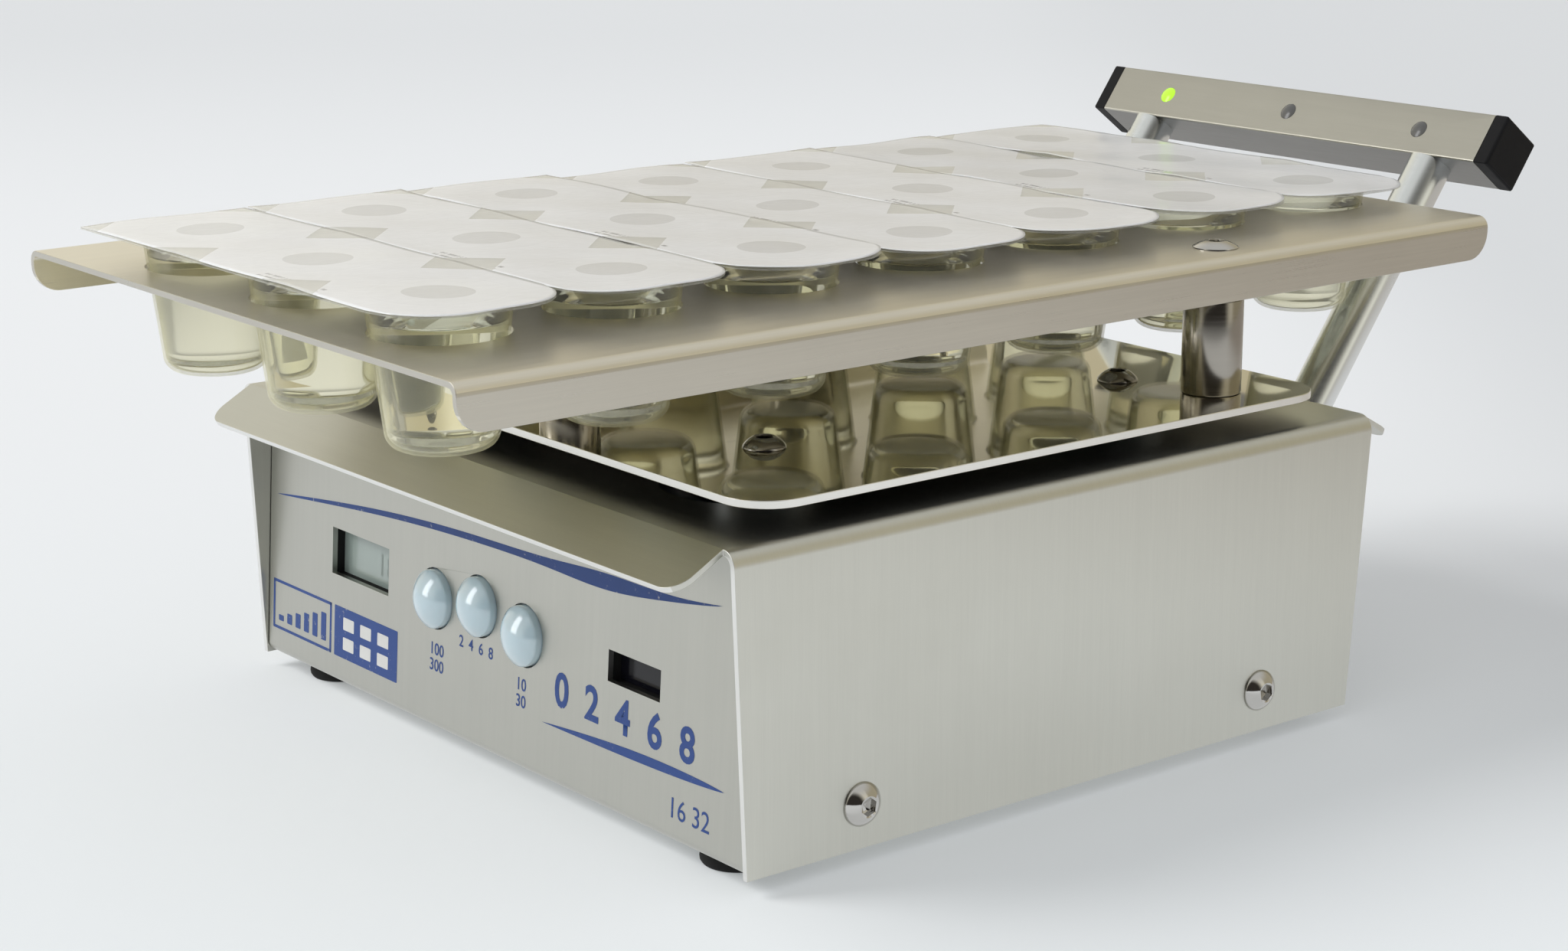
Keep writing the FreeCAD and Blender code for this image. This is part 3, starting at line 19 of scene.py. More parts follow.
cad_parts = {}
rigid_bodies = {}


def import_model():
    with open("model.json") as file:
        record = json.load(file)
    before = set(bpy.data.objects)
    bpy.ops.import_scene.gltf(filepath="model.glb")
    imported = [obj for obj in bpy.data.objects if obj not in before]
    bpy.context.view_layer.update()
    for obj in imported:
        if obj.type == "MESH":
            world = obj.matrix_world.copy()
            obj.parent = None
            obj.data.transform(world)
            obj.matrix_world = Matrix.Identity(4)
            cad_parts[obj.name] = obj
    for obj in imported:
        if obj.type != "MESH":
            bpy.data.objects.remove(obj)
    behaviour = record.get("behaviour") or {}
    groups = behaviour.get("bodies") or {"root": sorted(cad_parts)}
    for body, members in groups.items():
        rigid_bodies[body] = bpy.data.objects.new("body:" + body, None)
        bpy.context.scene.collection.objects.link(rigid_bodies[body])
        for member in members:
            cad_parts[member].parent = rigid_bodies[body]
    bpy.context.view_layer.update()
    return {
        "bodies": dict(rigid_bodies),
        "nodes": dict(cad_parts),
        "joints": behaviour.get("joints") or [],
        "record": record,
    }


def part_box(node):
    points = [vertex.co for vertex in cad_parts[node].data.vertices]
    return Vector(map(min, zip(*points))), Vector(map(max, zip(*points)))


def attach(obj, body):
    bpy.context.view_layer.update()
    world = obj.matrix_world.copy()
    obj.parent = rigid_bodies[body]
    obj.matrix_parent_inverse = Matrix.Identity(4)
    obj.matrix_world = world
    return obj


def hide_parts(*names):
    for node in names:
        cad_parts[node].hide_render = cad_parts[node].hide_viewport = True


LOG = logging.getLogger("shaker")
MM = 0.001
PRINT_CORNER = 0.3 * MM
CUP_SEGMENTS = 64
SQUARE_ON = 0.9

Colour = tuple[float, float, float]


class Axis(Enum):
    """The direction across which a metal's brush marks repeat."""

    ACROSS_X = (1.0, 0.02, 0.02)
    ACROSS_Y = (0.02, 1.0, 0.02)
    ACROSS_Z = (0.02, 0.02, 1.0)
    ALONG_Y = (1.0, 0.02, 1.0)


class Signal:
    """A node's output socket; arithmetic on it adds Math nodes."""

    def __init__(self, graph: "Graph", socket: bpy.types.NodeSocket | None) -> None:
        """Keeps the graph and the socket."""
        self.graph = graph
        self.socket = socket

    def maths(self, operation: str, *others: "Signal | float") -> "Signal":
        """The outcome of a Math node on this and the other values."""
        values = dict(enumerate((self, *others)))
        return self.graph.make("ShaderNodeMath", {"operation": operation}, values)

    def __add__(self, other: "Signal | float") -> "Signal":
        """Sum."""
        return self.maths("ADD", other)

    __radd__ = __add__

    def __sub__(self, other: "Signal | float") -> "Signal":
        """Difference."""
        return self.maths("SUBTRACT", other)

    def __rsub__(self, other: float) -> "Signal":
        """Difference from a number."""
        return self * -1.0 + other

    def __mul__(self, other: "Signal | float") -> "Signal":
        """Product."""
        return self.maths("MULTIPLY", other)

    __rmul__ = __mul__

    def __truediv__(self, other: "Signal | float") -> "Signal":
        """Quotient."""
        return self.maths("DIVIDE", other)

    def __abs__(self) -> "Signal":
        """Size without its sign."""
        return self.maths("ABSOLUTE")

    def __pow__(self, other: "Signal | float") -> "Signal":
        """Power."""
        return self.maths("POWER", other)

    def __lt__(self, other: "Signal | float") -> "Signal":
        """1 where this is the smaller, else 0."""
        return self.maths("LESS_THAN", other)

    def __gt__(self, other: "Signal | float") -> "Signal":
        """1 where this is the larger, else 0."""
        return self.maths("GREATER_THAN", other)

    def rounded(self) -> "Signal":
        """Nearest whole number."""
        return self.maths("ROUND")

    def ramp(self, low: float, high: float) -> "Signal":
        """0 at low, 1 at high, smooth between."""
        values = {"Value": self, "From Min": low, "From Max": high}
        return self.graph.make("ShaderNodeMapRange", {"interpolation_type": "SMOOTHSTEP"}, values)


class Graph:
    """The node tree of one material or of the world."""

    def __init__(self, tree: bpy.types.NodeTree) -> None:
        """Empties the tree."""
        self.tree = tree
        tree.nodes.clear()

    def make(
        self,
        kind: str,
        settings: Mapping[str, object] | None = None,
        inputs: Mapping[str | int, object] | None = None,
        output: str | int = 0,
    ) -> Signal | None:
        """Adds one node.

        Args:
            kind: the node's type.
            settings: its own properties, set before its sockets; "stops" fills a colour ramp.
            inputs: values or signals for its sockets, by name or number.
            output: which of its sockets the signal reads.

        Returns:
            The chosen output, or nothing for a node without one.
        """
        node = self.tree.nodes.new(kind)
        for name, value in (settings or {}).items():
            if name == "stops":
                self.fill_ramp(node, value)
            else:
                setattr(node, name, value)
        for name, value in (inputs or {}).items():
            if isinstance(value, Signal):
                self.tree.links.new(value.socket, node.inputs[name])
            else:
                node.inputs[name].default_value = value
        return Signal(self, node.outputs[output]) if node.outputs else None

    @staticmethod
    def fill_ramp(node: bpy.types.Node, stops: Sequence[tuple[float, Colour]]) -> None:
        """Sets a colour ramp's stops.

        Args:
            node: the ramp node.
            stops: place and colour of each stop.
        """
        elements = node.color_ramp.elements
        while len(elements) < len(stops):
            elements.new(0.5)
        for element, (place, colour) in zip(elements, stops):
            element.position = place
            element.color = (*colour, 1.0)

    def object_point(self) -> Signal:
        """The surface point in the object's own coordinates."""
        return self.make("ShaderNodeTexCoord", output="Object")

    def stretched(self, point: Signal, scale: Sequence[float]) -> Signal:
        """The point with each coordinate multiplied."""
        return self.make("ShaderNodeMapping", inputs={"Vector": point, "Scale": tuple(scale)})

    def outputs(self, first: Signal, *names: str | int) -> tuple[Signal, ...]:
        """Further outputs of the node behind a signal."""
        return tuple(Signal(self, first.socket.node.outputs[name]) for name in names)

    def parts(self, point: Signal) -> tuple[Signal, ...]:
        """The three coordinates of a point."""
        return self.outputs(self.make("ShaderNodeSeparateXYZ", inputs={0: point}), 0, 1, 2)

    def rays(self) -> tuple[Signal, ...]:
        """1 for camera rays, for glossy rays and for rays that came through something clear."""
        kinds = ("Is Camera Ray", "Is Glossy Ray", "Is Transmission Ray")
        return self.outputs(self.make("ShaderNodeLightPath"), *kinds)

    def noise(self, point: Signal, scale: float, detail: float = 3.0, rough: float = 0.5) -> Signal:
        """Noise between 0 and 1, with scale features for each unit of the point."""
        values = {"Vector": point, "Scale": scale, "Detail": detail, "Roughness": rough}
        return self.make("ShaderNodeTexNoise", inputs=values)

    def tint(self, factor: Signal | float, low: Colour, high: Colour) -> Signal:
        """A colour between two others.

        Args:
            factor: 0 for low and 1 for high.
            low: the first colour, or a signal.
            high: the second colour, or a signal.

        Returns:
            The mixed colour.
        """
        first = low if isinstance(low, Signal) else (*low, 1.0)
        second = high if isinstance(high, Signal) else (*high, 1.0)
        settings = {"data_type": "RGBA", "clamp_factor": True}
        return self.make("ShaderNodeMix", settings, {0: factor, 6: first, 7: second}, output=2)

    def bump(self, height: Signal, depth: float, strength: float = 1.0) -> Signal:
        """A normal that follows a height from 0 to 1 that stands for depth metres."""
        values = {"Height": height, "Distance": depth, "Strength": strength}
        return self.make("ShaderNodeBump", inputs=values)


@dataclass(frozen=True)
class Finish:
    """A finish whose colour, gloss and relief vary gently over the surface."""

    name: str
    colour: Colour = (0.5, 0.5, 0.5)
    metallic: float = 0.0
    roughness: float = 0.4
    mottle: float = 0.06
    mottle_scale: float = 60.0
    grain_scale: float = 2500.0
    grain_depth: float = 0.01 * MM
    coat: float = 0.0
    gloss: float = 0.5

    def build(self) -> bpy.types.Material:
        """Makes the material.

        Returns:
            The Blender material.
        """
        material = bpy.data.materials.new(self.name)
        material.use_nodes = True
        graph = Graph(material.node_tree)
        values = {
            "Metallic": self.metallic,
            "Coat Weight": self.coat,
            "Coat Roughness": 0.06,
            "Specular IOR Level": self.gloss,
        }
        values.update(self.surface(graph))
        shader = graph.make("ShaderNodeBsdfPrincipled", inputs=values)
        graph.make("ShaderNodeOutputMaterial", inputs={"Surface": shader})
        material.node_tree.nodes.active = shader.socket.node
        return material

    def surface(self, graph: Graph) -> dict[str, object]:
        """Values for the shader's sockets.

        Args:
            graph: the material's graph.

        Returns:
            Socket names and their values.
        """
        point = graph.object_point()
        cloud = graph.noise(point, self.mottle_scale, 4.0)
        grain = graph.noise(point, self.grain_scale, 2.0)
        return {
            "Base Color": self.shaded(graph, cloud, self.mottle),
            "Roughness": (cloud - 0.5) * (self.mottle * 2.0) + self.roughness,
            "Normal": graph.bump(grain, self.grain_depth),
        }

    def shaded(self, graph: Graph, factor: Signal, amount: float) -> Signal:
        """The finish's colour, darker and lighter by an amount.

        Args:
            graph: the material's graph.
            factor: 0 for the darkest and 1 for the lightest.
            amount: half of the difference, as a share.

        Returns:
            The varied colour.
        """
        low = tuple(value * (1.0 - amount) for value in self.colour)
        high = tuple(min(1.0, value * (1.0 + amount)) for value in self.colour)
        return graph.tint(factor, low, high)


@dataclass(frozen=True)
class BrushedMetal(Finish):
    """Sheet metal with fine parallel brush marks and a few handling marks."""

    metallic: float = 1.0
    grain: Axis = Axis.ACROSS_Y
    streak: float = 0.10
    streak_scale: float = 1500.0
    smudge: float = 0.05

    def surface(self, graph: Graph) -> dict[str, object]:
        """Streaks along the grain, over broad clouds and faint smudges.

        Args:
            graph: the material's graph.

        Returns:
            Socket names and their values.
        """
        point = graph.object_point()
        along = graph.stretched(point, self.grain.value)
        fine = graph.noise(along, self.streak_scale, 3.0, 0.6)
        wide = graph.noise(along, self.streak_scale * 0.18, 2.0)
        cloud = graph.noise(point, self.mottle_scale, 4.0)
        smudge = graph.noise(point, self.mottle_scale * 0.35, 5.0, 0.6).ramp(0.5, 0.72)
        mix = fine * 0.5 + wide * 0.25 + cloud * 0.25
        return {
            "Base Color": self.shaded(graph, mix.ramp(0.25, 0.75), self.streak),
            "Roughness": (fine - 0.5) * 0.16 + smudge * self.smudge + self.roughness,
            "Normal": graph.bump(fine + wide * 0.5, self.grain_depth),
        }


@dataclass(frozen=True)
class LidPrint(Finish):
    """Printed lid film: white eight-sided fields with grey discs, clear windows between them."""

    pitch_x: float = 51.5 * MM
    pitch_y: float = 45.8 * MM
    origin_y: float = 0.0
    disc_radius: float = 8.0 * MM
    window: float = 11.3 * MM
    seal_radius: float = 15.6 * MM
    clear_alpha: float = 0.72
    print_alpha: float = 0.95

    def surface(self, graph: Graph) -> dict[str, object]:
        """Repeats one cup's field over the sheet.

        The window is a square standing on its corner, where the distances to the cell's two
        nearest sides add up to less than its half diagonal.

        Args:
            graph: the material's graph.

        Returns:
            Socket names and their values.
        """
        point = graph.object_point()
        x, y, _ = graph.parts(point)
        cell_x = x / self.pitch_x
        cell_y = (y - self.origin_y) / self.pitch_y
        side_x = abs(cell_x - cell_x.rounded()) * self.pitch_x
        side_y = abs(cell_y - cell_y.rounded()) * self.pitch_y
        to_corner = (side_x * -1.0 + self.pitch_x / 2) + (side_y * -1.0 + self.pitch_y / 2)
        wobble = (graph.noise(point, 900.0, 2.0) - 0.5) * (0.4 * MM)
        printed = (to_corner + wobble).ramp(self.window, self.window + 0.25 * MM)
        radius = (side_x * side_x + side_y * side_y) ** 0.5
        disc = 1.0 - radius.ramp(self.disc_radius, self.disc_radius + 0.2 * MM)
        ring = 1.0 - abs(radius - self.seal_radius).ramp(0.0, 0.9 * MM)
        marks = self.tiny_marks(graph, x, cell_y, printed)
        cloud = graph.noise(point, 120.0, 4.0)
        white = self.shaded(graph, cloud, 0.02)
        field_colour = graph.tint(disc, white, (0.74, 0.74, 0.74))
        inked = graph.tint(marks, field_colour, (0.42, 0.42, 0.43))
        crinkle = graph.noise(point, 70.0, 3.0, 0.55)
        spread = self.print_alpha - self.clear_alpha
        return {
            "Base Color": graph.tint(printed, (0.88, 0.87, 0.81), inked),
            "Subsurface Weight": 0.4,
            "Subsurface Scale": 2.0 * MM,
            "Subsurface Radius": (1.0, 1.0, 1.0),
            "Roughness": printed * 0.10 + 0.11,
            "Alpha": printed * spread + self.clear_alpha,
            "Normal": graph.bump(crinkle * 0.95 + ring * 0.05, 0.22 * MM),
        }

    def tiny_marks(self, graph: Graph, x: Signal, cell_y: Signal, printed: Signal) -> Signal:
        """Two rows of short grey dashes near the edge of each strip.

        Args:
            graph: the material's graph.
            x: distance along the strip.
            cell_y: rows, counted from the first strip's centre.
            printed: 1 on the printed fields.

        Returns:
            1 on the dashes.
        """
        across = cell_y - cell_y.rounded()
        first = abs(across + 0.40) < 0.012
        second = abs(across + 0.45) < 0.010
        inside = abs(x - 22.0 * MM) < 13.0 * MM
        scattered = graph.noise(graph.stretched(graph.object_point(), (1.0, 0.0, 0.0)), 900.0, 0.0)
        return (first + second) * inside * (scattered > 0.47) * printed


@dataclass(frozen=True)
class ClearWall(Finish):
    """Thin clear plastic: see-through face on, denser and yellower where it is seen edge on."""

    edge_colour: Colour = (0.86, 0.81, 0.46)
    face_alpha: float = 0.05
    edge_alpha: float = 0.50

    def surface(self, graph: Graph) -> dict[str, object]:
        """Colour and density follow how edge-on the wall is seen.

        Args:
            graph: the material's graph.

        Returns:
            Socket names and their values.
        """
        edge = graph.make("ShaderNodeLayerWeight", inputs={"Blend": 0.6}, output="Facing")
        cloud = graph.noise(graph.object_point(), 400.0, 2.0)
        density = edge**2.2 * (self.edge_alpha - self.face_alpha) + self.face_alpha
        return {
            "Base Color": graph.tint(edge.ramp(0.35, 0.95), self.colour, self.edge_colour),
            "Roughness": cloud * 0.06 + self.roughness,
            "Alpha": density,
        }


@dataclass(frozen=True)
class Liquid(Finish):
    """Clear, faintly yellow liquid that bends what is seen through it."""

    refraction: float = 1.34
    clearness: float = 1.0

    def surface(self, graph: Graph) -> dict[str, object]:
        """A still liquid with very slight streaks.

        Args:
            graph: the material's graph.

        Returns:
            Socket names and their values.
        """
        cloud = graph.noise(graph.object_point(), 150.0, 2.0)
        return {
            "Base Color": self.shaded(graph, cloud, self.mottle),
            "Roughness": self.roughness,
            "Transmission Weight": self.clearness,
            "IOR": self.refraction,
        }


@dataclass(frozen=True)
class SoftPlastic(Finish):
    """Moulded plastic that lets a little light in under its gloss."""

    depth: float = 2.0 * MM
    inner_weight: float = 0.35

    def surface(self, graph: Graph) -> dict[str, object]:
        """Adds light scattered under the skin to the plain finish."""
        scattered = {"Subsurface Weight": self.inner_weight, "Subsurface Scale": self.depth,
                     "Subsurface Radius": (0.7, 1.0, 1.0)}
        return super().surface(graph) | scattered


@dataclass(frozen=True)
class LampLight(Finish):
    """A clear lens with a lamp behind it, brightest at its centre."""

    glow: Colour = (0.0, 0.0, 0.0)
    strength: float = 0.0

    def surface(self, graph: Graph) -> dict[str, object]:
        """Adds the lamp's own light to the plain finish."""
        light = {"Emission Color": (*self.glow, 1.0), "Emission Strength": self.strength}
        return super().surface(graph) | light


@dataclass(frozen=True)
class WornInk(Finish):
    """Screen print with pinholes and slightly uneven cover."""

    def surface(self, graph: Graph) -> dict[str, object]:
        """Small worn specks let the metal's colour through.

        Args:
            graph: the material's graph.

        Returns:
            Socket names and their values.
        """
        point = graph.object_point()
        cover = graph.noise(point, 700.0, 3.0, 0.7)
        worn = cover.ramp(0.60, 0.72) * graph.noise(point, 90.0, 2.0).ramp(0.42, 0.62)
        cloud = graph.noise(point, 150.0, 3.0)
        ink = self.shaded(graph, cloud, self.mottle)
        return {
            "Base Color": graph.tint(worn, ink, (0.42, 0.42, 0.41)),
            "Roughness": worn * -0.1 + self.roughness,
            "Normal": graph.bump(cover, 0.01 * MM),
        }


COVER_GRAIN = {"streak": 0.035, "streak_scale": 3200.0, "mottle_scale": 35.0,
               "grain_depth": 0.003 * MM}
TRAY_GRAIN = {"grain": Axis.ALONG_Y, "streak_scale": 1800.0, "mottle_scale": 30.0}
LAMP_GRAIN = {"grain": Axis.ACROSS_Z, "streak": 0.03, "streak_scale": 2600.0,
              "grain_depth": 0.002 * MM}
FINISHES: tuple[Finish, ...] = (
    BrushedMetal("cover_steel", (0.60, 0.60, 0.55), roughness=0.34, **COVER_GRAIN),
    BrushedMetal("panel_steel", (0.455, 0.455, 0.42), roughness=0.36, grain=Axis.ACROSS_X,
                 **COVER_GRAIN),
    BrushedMetal("tray_steel", (0.74, 0.70, 0.60), metallic=0.90, roughness=0.32, streak=0.05,
                 grain_depth=0.0012 * MM, **TRAY_GRAIN),
    # darker copy of the tray steel for the flanges' outer faces: painted shade
    BrushedMetal("flange_painted_shade", (0.54, 0.51, 0.445), metallic=0.90, roughness=0.30, streak=0.05,
                 grain_depth=0.0012 * MM, **TRAY_GRAIN),
    # lighter than the cover steel: the bare cut metal, with a painted highlight
    BrushedMetal("cut_edge", (0.76, 0.76, 0.74), roughness=0.30, streak=0.06),
    # darker finish for the tray's cut edges
    BrushedMetal("darker_cut_edge", (0.52, 0.50, 0.45), roughness=0.30, streak=0.06),
    BrushedMetal("plate_rim", (0.74, 0.73, 0.69), roughness=0.18, streak=0.04),
    # lighter, part-diffuse copy of the tray steel for its underside and inner flange faces: painted
    # light for the bright floor they reflect
    BrushedMetal("tray_underside_painted_light", (0.80, 0.74, 0.56), metallic=0.45, roughness=0.30, streak=0.04,
                 grain_depth=0.001 * MM, **TRAY_GRAIN),
    Finish("mirror_steel", (0.78, 0.75, 0.63), 1.0, 0.04, 0.02, 40.0, 400.0, 0.0004 * MM),
    # near black for the drive plate's underside: painted shade in the gap over the cover
    Finish("plate_underside_painted_shade", (0.006, 0.006, 0.005), 0.0, 0.6, 0.1, 200.0, 2000.0, 0.01 * MM,
           0.0, 0.05),
    # darker copy of the screw steel for the plate screws: painted shade for the dark surroundings
    # they reflect
    Finish("plate_screw_painted_shade", (0.26, 0.25, 0.235), 1.0, 0.11, 0.03, 300.0, 3000.0, 0.001 * MM),
    Finish("screw_steel", (0.54, 0.53, 0.51), 1.0, 0.06, 0.03, 300.0, 3000.0, 0.001 * MM),
    BrushedMetal("turned_steel", (0.34, 0.32, 0.285), roughness=0.17, grain=Axis.ACROSS_Z,
                 streak=0.04, streak_scale=3500.0, grain_depth=0.001 * MM),
    BrushedMetal("leg_steel", (0.74, 0.77, 0.78), roughness=0.22, grain=Axis.ACROSS_Z,
                 streak=0.015, streak_scale=3500.0, grain_depth=0.0003 * MM),
    BrushedMetal("lamp_aluminium", (0.44, 0.43, 0.385), roughness=0.34, **LAMP_GRAIN),
    # darker copy of the lamp aluminium for the bar's lower faces: painted shade
    BrushedMetal("lamp_painted_shade", (0.21, 0.205, 0.195), roughness=0.36, **LAMP_GRAIN),
    BrushedMetal("milled_aluminium", (0.70, 0.70, 0.71), roughness=0.34, grain=Axis.ACROSS_X,
                 streak=0.08, streak_scale=900.0),
    Finish("ground_steel", (0.60, 0.60, 0.60), 1.0, 0.16, 0.04, 200.0, 2500.0, 0.002 * MM),
    Finish("zinc_steel", (0.62, 0.62, 0.58), 1.0, 0.34, 0.10, 160.0, 1800.0, 0.006 * MM),
    Finish("black_rubber", (0.012, 0.012, 0.012), 0.0, 0.78, 0.15, 200.0, 1800.0, 0.03 * MM,
           0.0, 0.2),
    Finish("black_plastic", (0.007, 0.007, 0.008), 0.0, 0.55, 0.12, 200.0, 2200.0, 0.02 * MM,
           0.0, 0.15),
    SoftPlastic("button_blue", (0.50, 0.63, 0.69), 0.0, 0.14, 0.04, 90.0, 900.0, 0.002 * MM,
                1.0, 0.9),
    Finish("display_face", (0.30, 0.36, 0.33), 0.0, 0.25, 0.06, 60.0, 1500.0, 0.002 * MM, 0.8),
    Finish("display_digit", (0.21, 0.25, 0.23), 0.0, 0.35, 0.05, 300.0, 1500.0, 0.001 * MM),
    Finish("dark_window", (0.006, 0.006, 0.009), 0.0, 0.12, 0.10, 120.0, 1500.0, 0.001 * MM, 0.0,
           0.3),
    Finish("board_green", (0.03, 0.16, 0.07), 0.0, 0.35, 0.12, 200.0, 900.0, 0.02 * MM, 0.3),
    LampLight("lens_lit", (0.12, 0.25, 0.02), 0.0, 0.20, 0.04, 200.0, 900.0, 0.002 * MM, 0.5,
              glow=(0.42, 0.80, 0.01), strength=1.05),
    LampLight("lens_dark", (0.07, 0.07, 0.068), 0.0, 0.25, 0.08, 200.0, 900.0, 0.002 * MM, 0.5),
    ClearWall("cup_wall", (0.95, 0.94, 0.80), 0.0, 0.03),
    ClearWall("cup_web", (0.90, 0.90, 0.84), 0.0, 0.10, edge_colour=(0.84, 0.83, 0.70),
              face_alpha=0.15, edge_alpha=0.5),
    Liquid("cup_liquid", (0.97, 0.955, 0.75), 0.0, 0.0, 0.01),
    WornInk("blue_ink", (0.022, 0.058, 0.215), 0.0, 0.45, 0.08, gloss=0.3),
    Finish("pale_print", (0.62, 0.62, 0.60), 0.0, 0.45, 0.05, 300.0, 2000.0, 0.004 * MM),
)


@dataclass
class Paintbox:
    """The finishes, each made into a material once."""

    made: dict[str, bpy.types.Material] = field(default_factory=dict)

    def __post_init__(self) -> None:
        """Builds every finish."""
        for finish in FINISHES:
            self.add(finish)

    def add(self, finish: Finish) -> bpy.types.Material:
        """Builds one finish and keeps it by name."""
        self.made[finish.name] = finish.build()
        return self.made[finish.name]

    def __getitem__(self, name: str) -> bpy.types.Material:
        """The material with that name."""
        return self.made[name]


def rounded_outline(corners: Sequence[tuple[float, float, float]], steps: int = 6) -> np.ndarray:
    """A closed outline with an arc at each corner.

    Each arc touches both sides of its corner: its centre lies on the corner's bisector, a radius
    away from both sides.

    Args:
        corners: x, y and radius of each corner, in order.
        steps: spans in each arc.

    Returns:
        Points of shape (count, 2).
    """
    places = np.array([corner[:2] for corner in corners], float)
    outline: list[np.ndarray] = []
    for index, (_, _, radius) in enumerate(corners):
        here = places[index]
        back = places[index - 1] - here
        ahead = places[(index + 1) % len(corners)] - here
        back /= np.linalg.norm(back)
        ahead /= np.linalg.norm(ahead)
        if radius <= 0:
            outline.append(here[None, :])
            continue
        half = math.acos(float(np.clip(back @ ahead, -1, 1))) / 2
        bisector = (back + ahead) / np.linalg.norm(back + ahead)
        centre = here + bisector * (radius / math.sin(half))
        start = here + back * (radius / math.tan(half)) - centre
        end = here + ahead * (radius / math.tan(half)) - centre
        first = math.atan2(start[1], start[0])
        sweep = (math.atan2(end[1], end[0]) - first + math.pi) % (2 * math.pi) - math.pi
        angles = first + sweep * np.linspace(0, 1, steps + 1)
        outline.append(centre + radius * np.stack([np.cos(angles), np.sin(angles)], axis=1))
    return np.concatenate(outline)


def turned(profile: Sequence[tuple[float, float]], segments: int, frame: Matrix) -> np.ndarray:
    """A surface of revolution: the angle runs one way and the profile the other.

    Args:
        profile: radius and height of each point.
        segments: spans round the axis.
        frame: places the axis, which is its local Z.

    Returns:
        Points of shape (segments, points, 3).
    """
    radius, height = np.array(profile, float).T
    angle = np.linspace(0, 2 * math.pi, segments, endpoint=False)[:, None]
    local = np.stack([radius * np.cos(angle), radius * np.sin(angle),
                      np.broadcast_to(height, (segments, len(height)))], axis=2)
    return moved(local, frame)


def moved(points: np.ndarray, frame: Matrix) -> np.ndarray:
    """Points, whose last axis is x, y, z, carried by a placement."""
    matrix = np.array(frame, float)
    return points @ matrix[:3, :3].T + matrix[:3, 3]


def upright(x: float, y: float, z: float) -> Matrix:
    """A placement with no turn."""
    return Matrix.Translation((x, y, z))


def linked(name: str, data: bpy.types.ID) -> bpy.types.Object:
    """A new object with that data, linked to the scene."""
    thing = bpy.data.objects.new(name, data)
    bpy.context.scene.collection.objects.link(thing)
    return thing


def box_outline(wide: float, tall: float, steps: int = 6) -> np.ndarray:
    """A rectangle about the origin with its corners barely rounded."""
    signs = ((-1, -1), (1, -1), (1, 1), (-1, 1))
    return rounded_outline([(wide / 2 * x, tall / 2 * y, PRINT_CORNER) for x, y in signs], steps)


